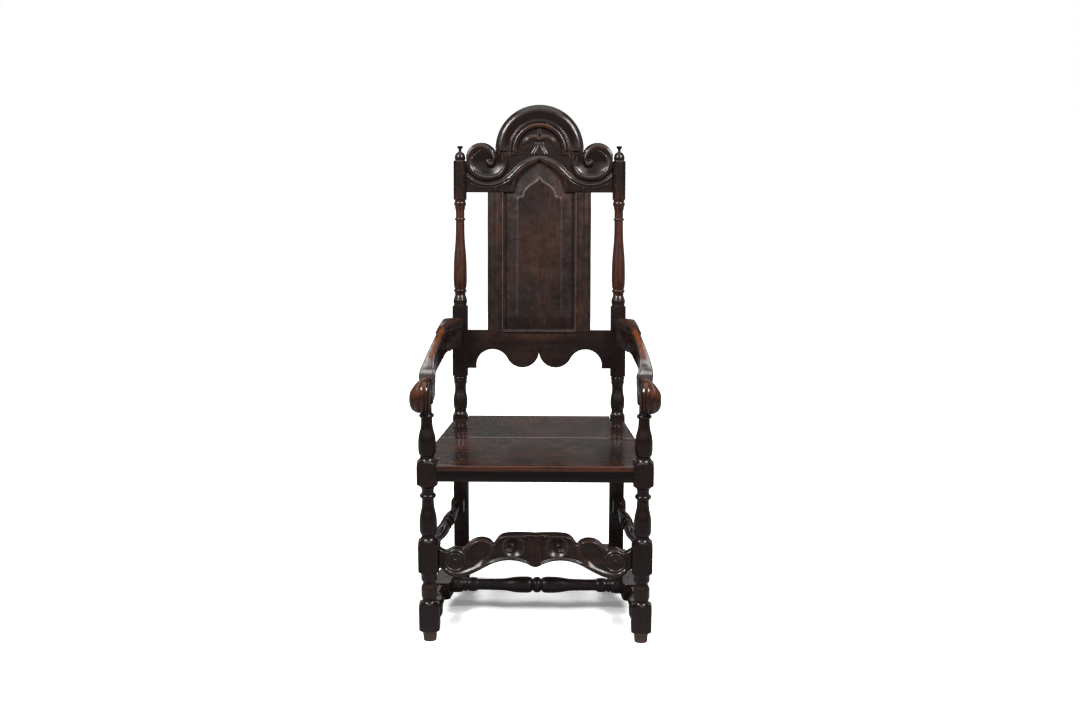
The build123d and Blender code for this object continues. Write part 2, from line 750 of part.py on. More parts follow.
def arm(side):
    """An arm that drops and swells out from the rear post to a scrolled, domed hand hold."""
    middle = front_y + 0.48 * frame_depth
    back_end = rear_y + 60
    nose = front_y - scroll_reach
    nose_radius = scroll_radius - scroll_step
    rim = half_front + scroll_rim
    inner = half_front - scroll_inner
    root = on_back(0, arm_tenon_axis, leg_side / 2).Z
    root_foot = root - arm_root_below
    with BuildPart() as piece:
        with BuildSketch(Plane(origin=(0, 0, 0), x_dir=(0, 1, 0), z_dir=(1, 0, 0))) as profile:
            with BuildLine():
                upper_end = (nose, scroll_height + nose_radius)
                lower_end = (nose, scroll_height - nose_radius)
                back_top = (back_end, root + arm_root_above + 8)
                back_foot = (back_end, root_foot + 22)
                Spline(
                    back_top,
                    (middle, scroll_height + arm_middle_above),
                    (front_y + 48, scroll_height + arm_dip_above),
                    upper_end,
                )
                ThreePointArc(upper_end, (nose - nose_radius, scroll_height), lower_end)
                Spline(
                    lower_end,
                    (front_y + 26, arm_seat + 5),
                    (front_y + 90, scroll_height - 4),
                    (middle, scroll_height),
                    (rear_y - 70, root_foot - 17),
                    (rear_y - 15, root_foot),
                    back_foot,
                )
                Line(back_foot, back_top)
            make_face()
        extrude(to_extrude=profile.sketch, amount=side * (half_front + 2 * scroll_outer))
        with BuildSketch(Plane.XY) as plan:
            with BuildLine():
                Spline(
                    (side * rim, nose),
                    (side * (half_front + 21), front_y + 50),
                    (side * (half_front + 19), front_y + 110),
                    (side * (half_front + 15), middle),
                    (side * (half_front + 2), rear_y - 100),
                    (side * (half_front - 10), rear_y - 28),
                    (side * (half_rear + 19), rear_y + 14),
                    (side * (half_rear + 10), back_end),
                )
                Line((side * (half_rear + 10), back_end), (side * (half_rear - 24), back_end))
                Spline(
                    (side * (half_rear - 24), back_end),
                    (side * (half_rear - 11), rear_y - 10),
                    (side * (half_rear + 29), rear_y - 55),
                    (side * (half_front - 9), rear_y - 125),
                    (side * (half_front + 15 - arm_width), middle),
                    (side * (half_front - 9), front_y + 90),
                    (side * inner, front_y + 34),
                )
                Polyline(
                    (side * inner, front_y + 34),
                    (side * inner, nose - scroll_radius),
                    (side * rim, nose - scroll_radius),
                    (side * rim, nose),
                )
            make_face()
        extrude(to_extrude=plan.sketch, amount=2 * back_top[1], mode=Mode.INTERSECT)
        hub = Plane(origin=(side * inner, nose, scroll_height), x_dir=(0, 0, 1), z_dir=(0, side, 0))
        hand_hold = [
            (0, scroll_radius - 5, "line"),
            (5, scroll_radius, "flare"),
            (scroll_inner + scroll_rim, scroll_radius, "line"),
            (scroll_inner + scroll_outer, 4, "dome"),
        ]
        turning(hub, 0, hand_hold)
        rear_face = back_plane.offset(leg_side / 2)
        bar(rear_face, 4 * half_front, 4 * arm_seat, -frame_depth, mode=Mode.SUBTRACT)
        cap = Plane(origin=(side * (half_front - 16), front_y + 6, 0))
        bar(cap, 62, scroll_radius, arm_seat, mode=Mode.SUBTRACT)
        bar(arm_shoulder(side), tenon_thickness, arm_tenon_height, short_tenon)
        socket = Plane(origin=(side * half_front, front_y, arm_seat))
        rod(socket, round_tenon / 2 + joint_fit, round_tenon_length + mortise_gap, mode=Mode.SUBTRACT)
        drill(arm_pegs)
    return piece


# ---------------------------------------------------------------- the back

def pointed_arch(half_width, foot, spring, apex):
    """A shape with upright sides and a pointed top, in the plane of the back."""
    rise = apex - spring
    with BuildLine() as outline:
        Polyline((-half_width, spring), (-half_width, foot), (half_width, foot), (half_width, spring))
        for side in SIDES.values():
            edge = side * half_width
            Bezier((edge, spring), (edge, spring + rise * 0.6), (edge * 0.35, apex - rise * 0.2), (0, apex))
    make_face(outline.edges())


def panel_shape(reach):
    """The panel's outline, that far beyond its sight size all round."""
    with Locations((0, (lower_rail_top + crest_foot) / 2)):
        Rectangle(panel_width + 2 * reach, crest_foot - lower_rail_top + 2 * reach)
    pointed_arch(opening_half + reach, crest_foot, crest_foot + reach, opening_apex + reach)


def groove():
    """Cuts the room for the panel's edge."""
    with BuildSketch(back_plane) as room:
        panel_shape(panel_tongue + mortise_gap)
    extrude(to_extrude=room.sketch, amount=panel_edge / 2 + joint_fit, both=True, mode=Mode.SUBTRACT)


def stile_mortise(edge, way):
    """The pocket for a stile's tenon, up (1) or down (-1) from the edge of its rail."""
    width, thickness = stile_tenon + 2 * joint_fit, tenon_thickness + 2 * joint_fit
    bar(edge, width, thickness, way * (tenon_length + mortise_gap), mode=Mode.SUBTRACT)


def arch_face(radius):
    """The arch's outline at that radius, down to the seam with the crest rail."""
    with Locations((0, arch_spring)):
        Circle(radius)
    with Locations((0, (arch_spring + crest_seam) / 2)):
        Rectangle(2 * radius, arch_spring - crest_seam)
    with Locations((0, crest_seam - radius)):
        Rectangle(4 * radius, 2 * radius, mode=Mode.SUBTRACT)


def dowel_holes():
    """The holes for the dowels that hold the arch on the crest rail."""
    for side in SIDES.values():
        section = up_the_back(side * dowel_x, crest_seam - dowel_length / 2 - mortise_gap)
        rod(section, dowel_diameter / 2, dowel_length + 2 * mortise_gap, mode=Mode.SUBTRACT)


with BuildPart() as crest_rail:
    with BuildSketch(back_plane) as face:
        with Locations((0, (crest_foot + crest_seam) / 2)):
            Rectangle(2 * volute_x, crest_seam - crest_foot)
        with Locations((0, (crest_foot + volute_height) / 2)):
            Rectangle(2 * crest_half, volute_height - crest_foot)
        with Locations(*volute_centres):
            Circle(volute_radius)
        with Locations((0, volute_height)):
            Rectangle(2 * crest_half, 4 * volute_radius, mode=Mode.INTERSECT)
    extrude(to_extrude=face.sketch, amount=crest_thickness / 2, both=True)
    with BuildSketch(back_plane) as opening:
        pointed_arch(opening_half, crest_foot - 5, crest_foot, opening_apex)
    extrude(to_extrude=opening.sketch, amount=crest_thickness, both=True, mode=Mode.SUBTRACT)
    with BuildSketch(back_plane.offset(crest_thickness / 2)) as bosses:
        for side in SIDES.values():
            with Locations((side * (volute_x - boss_inward), volute_height - boss_drop)):
                Circle(boss_radius)
    extrude(to_extrude=bosses.sketch, amount=boss_height)
    groove()
    for side in SIDES.values():
        end = across_back(side * crest_half, crest_tenon_axis, side)
        bar(end, tenon_thickness, crest_tenon_height, short_tenon)
        stile_mortise(up_the_back(side * stile_x, crest_foot), 1)
    dowel_holes()
    drill(back_pegs)

with BuildPart() as crest_arch:
    with BuildSketch(back_plane.offset(-arch_thickness / 2)) as face:
        arch_face(arch_radius)
        with Locations(*volute_centres):
            Circle(volute_radius + joint_fit, mode=Mode.SUBTRACT)
    extrude(to_extrude=face.sketch, amount=arch_thickness - ridge_height)
    with BuildSketch(back_plane.offset(arch_thickness / 2)) as ridge:
        arch_face(ridge_outer)
    extrude(to_extrude=ridge.sketch, amount=-ridge_height)
    with BuildSketch(back_plane.offset(arch_thickness / 2)) as field:
        arch_face(ridge_inner)
    extrude(to_extrude=field.sketch, amount=-ridge_height - field_depth, mode=Mode.SUBTRACT)
    dowel_holes()

with BuildPart() as crest_dowels:
    for side in SIDES.values():
        rod(up_the_back(side * dowel_x, crest_seam - dowel_length / 2), dowel_diameter / 2, dowel_length)

with BuildPart() as lower_back_rail:
    arc_top = lower_rail_foot + rail_arc_rise
    arc_start = (rail_arc_x + rail_arc_radius, lower_rail_foot)
    middle_x = (rail_arc_x + rail_lobe_x) / 2
    meeting = (middle_x, lower_rail_foot + 0.52 * rail_arc_rise)
    cusp = (0, arc_top)
    with BuildSketch(back_plane) as face:
        with BuildLine():
            Polyline(
                cusp,
                (0, lower_rail_top),
                (rail_half, lower_rail_top),
                (rail_half, lower_rail_foot),
                arc_start,
            )
            ThreePointArc(arc_start, (rail_arc_x, arc_top), meeting)
            ThreePointArc(meeting, (rail_lobe_x, lower_rail_foot + rail_lobe_rise), cusp)
        make_face()
        mirror(about=Plane.YZ)
    extrude(to_extrude=face.sketch, amount=lower_rail_thickness / 2, both=True)
    groove()
    for side in SIDES.values():
        end = across_back(side * rail_half, lower_rail_axis, side)
        bar(end, tenon_thickness, lower_rail_tenon, short_tenon)
        stile_mortise(up_the_back(side * stile_x, lower_rail_top), -1)
    drill(back_pegs)


def panel_stile(side):
    """An upright that frames the panel, tenoned into the lower rail and the crest rail."""
    with BuildPart() as stile:
        height = crest_foot - lower_rail_top
        bar(up_the_back(side * stile_x, lower_rail_top), stile_width, stile_thickness, height)
        tip = up_the_back(side * stile_x, lower_rail_top - tenon_length)
        bar(tip, stile_tenon, tenon_thickness, height + 2 * tenon_length)
        groove()
        drill(back_pegs)
    return stile


with BuildPart() as back_panel:
    with BuildSketch(back_plane) as blank:
        panel_shape(panel_tongue)
    extrude(to_extrude=blank.sketch, amount=panel_edge / 2, both=True)
    with BuildSketch(back_plane) as field:
        field_foot = lower_rail_top + panel_margin
        field_half = panel_width / 2 - panel_margin
        pointed_arch(field_half, field_foot, crest_foot - panel_shoulder, crest_foot + panel_margin)
    extrude(to_extrude=field.sketch, amount=panel_edge / 2 + panel_raise)

# ---------------------------------------------------------------- pieces

os.makedirs("parts", exist_ok=True)
for name, side in SIDES.items():
    save(front_post(side), f"front_post_{name}")
    save(rear_post(side), f"rear_post_{name}")
    save(side_rail(side), f"side_seat_rail_{name}")
    save(high_side_stretcher(side), f"upper_side_stretcher_{name}")
    save(low_side_stretcher(side), f"lower_side_stretcher_{name}")
    save(arm(side), f"arm_{name}")
    save(panel_stile(side), f"panel_stile_{name}")

seat_frame = (rail_axis, rail_thickness, rail_height)
front_rail = level_rail(inner_face, front_rail_y, *seat_frame, tenon_length, front_pegs + board_pegs)
save(front_rail, "front_seat_rail")
rear_rail = level_rail(rail_half, rear_rail_y, *seat_frame, short_tenon, rear_pegs + board_pegs)
save(rear_rail, "rear_seat_rail")
plain = (rear_stretcher_axis, rear_stretcher_thickness, rear_stretcher_height)
save(level_rail(rail_half, rear_stretcher_y, *plain, short_tenon, rear_pegs), "rear_stretcher")
seat_back = frame_depth + leg_side / 2 + seat_back_overhang
save(seat_board(-seat_overhang, seat_seam - seam_gap / 2), "seat_board_front")
save(seat_board(seat_seam + seam_gap / 2, seat_back), "seat_board_rear")
save(medial_stretcher, "medial_stretcher")
save(carved_stretcher, "front_stretcher")
save(crest_rail, "crest_rail")
save(crest_arch, "crest_arch")
save(crest_dowels, "crest_dowels")
save(lower_back_rail, "lower_back_rail")
save(back_panel, "back_panel")

for label, pegs in {
    "front_frame_pegs": front_pegs,
    "side_frame_pegs": side_pegs,
    "rear_frame_pegs": rear_pegs,
    "back_pegs": back_pegs,
    "arm_pegs": arm_pegs,
    "medial_pegs": medial_pegs,
    "seat_board_pegs": board_pegs,
}.items():
    with BuildPart() as group:
        drive(pegs)
    save(group, label)
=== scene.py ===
"""Dresses the oak wainscot armchair: carved and moulded oak, old polish, a white floor and soft light."""

from math import cos, pi, radians, sin, sqrt

import bpy
import numpy as np
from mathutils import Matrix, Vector, geometry, noise


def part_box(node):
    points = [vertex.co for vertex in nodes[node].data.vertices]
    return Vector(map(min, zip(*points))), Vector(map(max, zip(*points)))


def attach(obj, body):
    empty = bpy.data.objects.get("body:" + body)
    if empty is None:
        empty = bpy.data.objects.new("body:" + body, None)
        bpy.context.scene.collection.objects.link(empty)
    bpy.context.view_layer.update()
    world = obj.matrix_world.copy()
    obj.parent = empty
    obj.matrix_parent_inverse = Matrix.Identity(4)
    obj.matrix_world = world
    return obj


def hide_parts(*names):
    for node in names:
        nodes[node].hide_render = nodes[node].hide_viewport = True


MM = 0.001

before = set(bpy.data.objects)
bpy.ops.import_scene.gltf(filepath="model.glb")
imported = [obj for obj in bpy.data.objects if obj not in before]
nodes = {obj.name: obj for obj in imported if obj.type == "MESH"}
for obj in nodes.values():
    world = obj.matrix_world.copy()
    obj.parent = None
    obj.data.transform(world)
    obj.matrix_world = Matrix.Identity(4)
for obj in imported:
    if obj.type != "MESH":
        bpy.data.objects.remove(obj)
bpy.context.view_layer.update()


def span(name):
    """Lowest corner, highest corner and middle of a CAD node."""
    low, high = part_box(name)
    return low, high, (low + high) / 2


# ---------------- places taken from the frame

foot_low, foot_high, foot_middle = span("front_post_right")
front_x, front_y = foot_middle.x, foot_middle.y
rear_low, rear_high, rear_middle = span("rear_post_right")
rear_x = rear_middle.x
leg_side = rear_high.x - rear_low.x
rear_y = rear_low.y + leg_side / 2
seat_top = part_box("seat_board_front")[1].z
SEAT_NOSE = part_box("seat_board_front")[0].y
rake = radians(7)
bend_height = seat_top - 0.010

ACROSS = Vector((1, 0, 0))
UP_BACK = Vector((0, sin(rake), cos(rake)))
FORWARD = Vector((0, -cos(rake), sin(rake)))
BACK_FOOT = Vector((0, rear_y, bend_height))


# ---------------- shared material effects

class Sheet:
    """Short hand for placing and joining shader nodes in one tree."""

    def __init__(self, tree):
        self.tree = tree
        self.column = 0

    def add(self, kind, **settings):
        node = self.tree.nodes.new(kind)
        node.location = (self.column * 40, -60 * (self.column % 9))
        self.column += 1
        for key, value in settings.items():
            setattr(node, key, value)
        return node

    def feed(self, target, source):
        """Sets a socket to a value, or joins another socket to it."""
        if isinstance(source, bpy.types.NodeSocket):
            self.tree.links.new(source, target)
        else:
            target.default_value = source

    def feed_all(self, node, names, sources):
        for name, source in zip(names, sources):
            self.feed(node.inputs[name], source)

    def math(self, operation, a, b=0.0, c=None, clamp=False):
        node = self.add("ShaderNodeMath", operation=operation, use_clamp=clamp)
        self.feed_all(node, (0, 1), (a, b))
        if c is not None:
            self.feed(node.inputs[2], c)
        return node.outputs[0]

    def times(self, a, b, clamp=False):
        return self.math("MULTIPLY", a, b, clamp=clamp)

    def ramp(self, value, low, high, bottom=0.0, top=1.0):
        """Smooth step from bottom to top as the value goes from low to high."""
        node = self.add("ShaderNodeMapRange", interpolation_type="SMOOTHSTEP")
        names = ("Value", "From Min", "From Max", "To Min", "To Max")
        self.feed_all(node, names, (value, low, high, bottom, top))
        return node.outputs["Result"]

    def split(self, vector):
        """The X, Y and Z of a vector."""
        node = self.add("ShaderNodeSeparateXYZ")
        self.feed(node.inputs[0], vector)
        return node.outputs["X"], node.outputs["Y"], node.outputs["Z"]

    def noise(self, vector, scale, detail=3.0, roughness=0.55, distortion=0.0):
        node = self.add("ShaderNodeTexNoise")
        names = ("Vector", "Scale", "Detail", "Roughness", "Distortion")
        self.feed_all(node, names, (vector, scale, detail, roughness, distortion))
        return node.outputs["Fac"]

    def stretch(self, vector, scale):
        node = self.add("ShaderNodeVectorMath", operation="MULTIPLY")
        self.feed(node.inputs[0], vector)
        node.inputs[1].default_value = scale
        return node.outputs[0]

    def mix(self, factor, a, b):
        node = self.add("ShaderNodeMix", data_type="RGBA")
        self.feed_all(node, ("Factor", "A", "B"), (factor, a, b))
        return node.outputs["Result"]


def effect_group(name, vector, values):
    """A node group with one vector going in and some values coming out."""
    tree = bpy.data.node_groups.new(name, "ShaderNodeTree")
    tree.interface.new_socket(name=vector, in_out="INPUT", socket_type="NodeSocketVector")
    for value in values:
        tree.interface.new_socket(name=value, in_out="OUTPUT", socket_type="NodeSocketFloat")
    sheet = Sheet(tree)
    return tree, sheet, sheet.add("NodeGroupInput").outputs[vector], sheet.add("NodeGroupOutput").inputs


def oak_grain_group():
    """Oak figure along Z: broad tone, fine streaks, open pores and their relief."""
    tree, sheet, place, results = effect_group(
        "oak grain", "Along Grain", ("Tone", "Streaks", "Pores", "Height"),
    )
    tone = sheet.noise(sheet.stretch(place, (16, 16, 2.2)), 1.0, 3, 0.5, 0.4)
    streaks = sheet.noise(sheet.stretch(place, (170, 170, 5)), 1.0, 3, 0.6, 0.15)
    pores = sheet.noise(sheet.stretch(place, (620, 620, 28)), 1.0, 2, 0.5)
    open_pores = sheet.ramp(pores, 0.56, 0.66)
    height = sheet.math("SUBTRACT", sheet.times(streaks, 0.6), sheet.times(open_pores, 0.5))
    sheet.feed(results["Tone"], sheet.ramp(tone, 0.3, 0.7))
    sheet.feed(results["Streaks"], sheet.ramp(streaks, 0.35, 0.68))
    sheet.feed(results["Pores"], open_pores)
    sheet.feed(results["Height"], height)
    return tree


def patina_and_shade_group():
    """Black polish in patches, rubbed arrises, and painted shade that darkens the hollows."""
    tree, sheet, place, results = effect_group(
        "old patina and hollow shade", "Place", ("Blackened", "Rubbed", "Hollow Shade", "Dents"),
    )
    patches = sheet.noise(place, 9.0, 4, 0.6, 0.3)
    scuffs = sheet.noise(place, 45.0, 3, 0.6)
    geometry_in = sheet.add("ShaderNodeNewGeometry")
    rounded = sheet.add("ShaderNodeBevel", samples=4)
    rounded.inputs["Radius"].default_value = 2.2 * MM
    likeness = sheet.add("ShaderNodeVectorMath", operation="DOT_PRODUCT")
    sheet.feed_all(likeness, (0, 1), (rounded.outputs["Normal"], geometry_in.outputs["Normal"]))
    edge = sheet.math("SUBTRACT", 1.0, likeness.outputs["Value"])
    rubbed = sheet.ramp(edge, 0.02, 0.16)
    rubbed = sheet.times(rubbed, sheet.ramp(scuffs, 0.38, 0.66))
    # Painted shade: ambient occlusion darkens the hollows.
    shelter = sheet.add("ShaderNodeAmbientOcclusion", samples=8)
    shelter.inputs["Distance"].default_value = 20 * MM
    open_air = shelter.outputs["AO"]
    sheet.feed(results["Blackened"], sheet.ramp(patches, 0.38, 0.66))
    sheet.feed(results["Rubbed"], rubbed)
    sheet.feed(results["Hollow Shade"], sheet.ramp(open_air, 0.25, 0.8, 1.0, 0.0))
    sheet.feed(results["Dents"], scuffs)
    return tree


OAK_GRAIN = oak_grain_group()
PATINA_AND_SHADE = patina_and_shade_group()

GRAIN_TURN = {"up": (0, 0, 0), "across": (0, radians(90), 0), "deep": (radians(90), 0, 0)}
BLACK_OAK = (0.0095, 0.0055, 0.0050, 1)
BROWN_OAK = (0.030, 0.0130, 0.0090, 1)
RED_OAK = (0.068, 0.021, 0.012, 1)
WORN_OAK = (0.20, 0.056, 0.018, 1)
# the colour of the painted shade laid into the hollows
HOLLOW_SHADE = (0.010, 0.008, 0.007, 1)
# the pale colour of the painted highlight lines
PAINTED_HIGHLIGHT = (0.19, 0.145, 0.13, 1)
SCUFFED_OAK = (0.10, 0.058, 0.042, 1)
ARRIS_WEAR = 0.12           # how far sharp arrises show bare oak


def aged_oak(name, grain, warmth, gloss=0.30, shine=0.5, relief_strength=0.12, carved=False,
             warm_places=None, scuffed_places=None):
    """Old waxed oak.

    Warmth is how far the black has worn back to brown, and warm_places adds more in places. The
    points of carved pieces say how far they are rubbed bare ("rub") and where pale lines of
    painted highlight run ("highlight_lines"). Painted shade darkens the hollows.
    """
    material = bpy.data.materials.new(name)
    material.use_nodes = True
    sheet = Sheet(material.node_tree)
    shader = material.node_tree.nodes["Principled BSDF"]
    place = sheet.add("ShaderNodeTexCoord").outputs["Object"]
    turn = sheet.add("ShaderNodeMapping")
    turn.inputs["Rotation"].default_value = GRAIN_TURN[grain]
    sheet.feed(turn.inputs["Vector"], place)
    figure = sheet.add("ShaderNodeGroup", node_tree=OAK_GRAIN)
    sheet.feed(figure.inputs["Along Grain"], turn.outputs["Vector"])
    age_and_shade = sheet.add("ShaderNodeGroup", node_tree=PATINA_AND_SHADE)
    sheet.feed(age_and_shade.inputs["Place"], place)

    brown = sheet.times(age_and_shade.outputs["Blackened"], warmth * 0.7)
    brown = sheet.math("MULTIPLY_ADD", figure.outputs["Tone"], warmth * 0.6, brown)
    if warm_places:
        brown = sheet.math("ADD", brown, warm_places(sheet, place))
    brown = sheet.times(brown, sheet.ramp(figure.outputs["Streaks"], 0, 1, 0.5, 1.3))
    colour = sheet.mix(sheet.times(brown, 1.0, clamp=True), BLACK_OAK, BROWN_OAK)
    red = sheet.math("MULTIPLY_ADD", brown, 1.25, -0.95, clamp=True)
    colour = sheet.mix(red, colour, RED_OAK)
    rubbed = sheet.times(age_and_shade.outputs["Rubbed"], ARRIS_WEAR, clamp=True)
    if carved:
        worn = sheet.add("ShaderNodeAttribute", attribute_name="rub").outputs["Fac"]
        patchy = sheet.ramp(age_and_shade.outputs["Dents"], 0.25, 0.6, 0.45, 1.0)
        rubbed = sheet.math("MAXIMUM", rubbed, sheet.times(worn, patchy), clamp=True)
    colour = sheet.mix(rubbed, colour, WORN_OAK)
    if scuffed_places:
        colour = sheet.mix(scuffed_places(sheet, place), colour, SCUFFED_OAK)
    colour = sheet.mix(sheet.times(figure.outputs["Pores"], 0.5), colour, BLACK_OAK)
    # Painted shade: darker in the hollows, from ambient occlusion.
    colour = sheet.mix(sheet.times(age_and_shade.outputs["Hollow Shade"], 0.6), colour, HOLLOW_SHADE)
    if carved:
        # Painted highlight: pale lines where the points are marked.
        highlight_lines = sheet.add("ShaderNodeAttribute", attribute_name="highlight_lines").outputs["Fac"]
        colour = sheet.mix(sheet.times(highlight_lines, 1.0, clamp=True), colour, PAINTED_HIGHLIGHT)
    sheet.feed(shader.inputs["Base Color"], colour)

    rough = sheet.ramp(age_and_shade.outputs["Dents"], 0.3, 0.7, gloss * 0.85, gloss * 1.25)
    rough = sheet.math("MULTIPLY_ADD", age_and_shade.outputs["Hollow Shade"], 0.25, rough)
    rough = sheet.math("MULTIPLY_ADD", figure.outputs["Pores"], 0.08, rough)
    sheet.feed(shader.inputs["Roughness"], rough)
    shader.inputs["Specular IOR Level"].default_value = shine
    if carved:
        sheet.feed(shader.inputs["Specular IOR Level"], sheet.ramp(worn, 0.25, 0.7, shine, 0.1 * shine))

    bump = sheet.add("ShaderNodeBump")
    bump.inputs["Strength"].default_value = relief_strength
    bump.inputs["Distance"].default_value = 0.5 * MM
    relief = sheet.math("MULTIPLY_ADD", age_and_shade.outputs["Dents"], 0.7, figure.outputs["Height"])
    sheet.feed(bump.inputs["Height"], relief)
    sheet.feed(shader.inputs["Normal"], bump.outputs["Normal"])
    return material


def dress(piece, material):
    """Gives a piece one material."""
    piece.data.materials.clear()
    piece.data.materials.append(material)


def height_band(low, high, amount, fade=0.03):
    """A warm stretch between two heights."""
    def places(sheet, place):
        _, _, z = sheet.split(place)
        rise = sheet.ramp(z, low - fade, low + fade)
        fall = sheet.ramp(z, high - fade, high + fade, 1.0, 0.0)
        return sheet.times(sheet.times(rise, fall), amount)

    return places


def scuffed_feet(sheet, place):
    """The pale, scuffed ends of the feet."""
    _, _, z = sheet.split(place)
    return sheet.ramp(z, 0.022, 0.03, 0.8, 0.0)


def worn_nose(sheet, place):
    """The front edge of the seat, worn back to red-brown by knees."""
    _, y, _ = sheet.split(place)
    return sheet.ramp(y, SEAT_NOSE + 0.001, SEAT_NOSE + 0.007, 0.9, 0.0)


FRONT_POST_OAK = aged_oak("front post oak", "up", 0.3, gloss=0.17,
                          warm_places=height_band(0.115, 0.14, 0.45, 0.004), scuffed_places=scuffed_feet)
REAR_POST_OAK = aged_oak("rear post oak", "up", 0.3, gloss=0.20,
                         warm_places=height_band(0.76, 1.0, 1.5, 0.05))
RAIL_OAK = aged_oak("rail oak", "across", 0.2)
SIDE_OAK = aged_oak("side oak", "deep", 0.4, gloss=0.14, relief_strength=0.02, shine=0.12)
PANEL_OAK = aged_oak("panel oak", "up", 0.75, gloss=0.36)
CREST_OAK = aged_oak("crest oak", "across", 0.3, gloss=0.26)
SEAT_OAK = aged_oak("seat oak", "across", 1.35, gloss=0.13, warm_places=worn_nose, relief_strength=0.015)
PEG_OAK = aged_oak("peg oak", "deep", 0.4)
CREST_CARVED_OAK = aged_oak("crest oak, carved", "across", 0.4, gloss=0.23, carved=True,
                            relief_strength=0.05)
PANEL_CARVED_OAK = aged_oak("panel oak, raised", "up", 0.9, gloss=0.34, carved=True)
STILE_CARVED_OAK = aged_oak("stile oak, moulded", "up", 0.85, gloss=0.30, carved=True)
STRETCHER_CARVED_OAK = aged_oak("stretcher oak, carved", "across", 0.6, gloss=0.27, carved=True,
                                relief_strength=0.05)
ARM_CARVED_OAK = aged_oak("arm oak, carved", "deep", 0.5, gloss=0.13, carved=True, relief_strength=0.04)
RAIL_CARVED_OAK = aged_oak("rail oak, shaped", "across", 0.65, gloss=0.29, carved=True, shine=0.35)

FINISH = {
    "front_post": FRONT_POST_OAK,
    "rear_post": REAR_POST_OAK,
    "side_seat": SIDE_OAK,
    "upper_side": SIDE_OAK,
    "lower_side": SIDE_OAK,
    "arm_": SIDE_OAK,
    "panel_stile": PANEL_OAK,
    "back_panel": PANEL_OAK,
    "crest": CREST_OAK,
    "seat_board": SEAT_OAK,
}
for name, node in nodes.items():
    finish = next((m for key, m in FINISH.items() if name.startswith(key)), RAIL_OAK)
    dress(node, PEG_OAK if "pegs" in name or "dowels" in name else finish)

# ---------------- carving

def curve(points, steps=10):
    """A smooth line through points, as many short runs."""
    knots = np.array(points, float)
    knots = np.vstack([2 * knots[0] - knots[1], knots, 2 * knots[-1] - knots[-2]])
    t = np.linspace(0, 1, steps, endpoint=False)[:, None]
    runs = []
    for p0, p1, p2, p3 in zip(knots, knots[1:], knots[2:], knots[3:]):
        bend = 2 * p1 + (p2 - p0) * t + (2 * p0 - 5 * p1 + 4 * p2 - p3) * t ** 2
        runs.append((bend + (3 * p1 - p0 - 3 * p2 + p3) * t ** 3) / 2)
    return np.vstack(runs + [knots[-2][None, :]])


def along(path, x, y):
    """Distance of each point from a line, and how far along the line the nearest place is, 0 to 1."""
    path = np.array(path, float)[:, :2]
    lengths = np.hypot(*(path[1:] - path[:-1]).T)
    travelled = np.concatenate([[0], np.cumsum(lengths)])
    best = np.full(x.shape, 1e9)
    where = np.zeros(x.shape)
    for (ax, ay), (bx, by), length, start in zip(path, path[1:], lengths, travelled):
        if length < 1e-9:
            continue
        share = np.clip(((x - ax) * (bx - ax) + (y - ay) * (by - ay)) / length ** 2, 0, 1)
        gap = np.hypot(x - ax - share * (bx - ax), y - ay - share * (by - ay))
        nearer = gap < best
        best = np.where(nearer, gap, best)
        where = np.where(nearer, (start + share * length) / travelled[-1], where)
    return best, where


def roll(gap, half_width):
    """The round section of a bead: 1 on its middle line, 0 at its sides."""
    return np.clip(1 - (gap / half_width) ** 2, 0, 1)


def ease(value, low, high):
    """Smooth step from 0 at low to 1 at high."""
    t = np.clip((value - low) / (high - low), 0, 1)
    return t * t * (3 - 2 * t)


def fade(value, full, gone):
    """Smooth step from 1 at full to 0 at gone."""
    return 1 - ease(value, full, gone)


def rounded_band(gap, half, foot, crown, fall):
    """Height of a round-topped band whose sides run on down below its foot."""
    return np.where(gap < half, foot + (crown - foot) * roll(gap, half), foot - fall * (gap - half))


def join(a, b, ease_over=1.4):
    """The higher of two surfaces, with the crease between them filled a little."""
    share = np.clip(0.5 + 0.5 * (a - b) / ease_over, 0, 1)
    return b + (a - b) * share + ease_over * share * (1 - share)


def blend(height, target, share):
    """Moves a surface towards another one."""
    return height + (target - height) * share


def thin(offset, half):
    """A soft thin line about where the offset is nothing."""
    return np.exp(-(offset / half) ** 2)


def spread(widths, share):
    """Half width of a band, from widths listed at even steps along it."""
    return np.interp(share, np.linspace(0, 1, len(widths)), widths)


def lay_band(height, gap, half, foot, crown, fall):
    """Lays a round-topped band on a surface."""
    return join(rounded_band(gap, half, foot, crown, fall), height)


def raise_band(height, path, widths, foot, crown, x, y, fall):
    """Lays a round-topped band of changing width along a line."""
    gap, share = along(path, x, y)
    return lay_band(height, gap, spread(widths, share), foot, crown, fall)


def tube_faces(start, rings, count):
    """Faces of a tube of equal rings of points, closed at both ends."""
    faces = []
    for ring in range(start, start + (rings - 1) * count, count):
        for k in range(count):
            a, b = ring + k, ring + (k + 1) % count
            faces.append([a, b, b + count, a + count])
    last = start + (rings - 1) * count
    return faces + [list(range(start, start + count))[::-1], list(range(last, last + count))]


def mesh_piece(name, points, faces):
    """A new mesh object at the origin, from points in metres."""
    mesh = bpy.data.meshes.new(name)
    mesh.from_pydata([tuple(p) for p in points], [], faces)
    mesh.update()
    piece = bpy.data.objects.new(name, mesh)
    bpy.context.scene.collection.objects.link(piece)
    return piece


def select_only(piece):
    bpy.ops.object.select_all(action="DESELECT")
    piece.select_set(True)
    bpy.context.view_layer.objects.active = piece


def smooth_shading(piece, angle=40):
    select_only(piece)
    bpy.ops.object.shade_smooth_by_angle(angle=radians(angle))


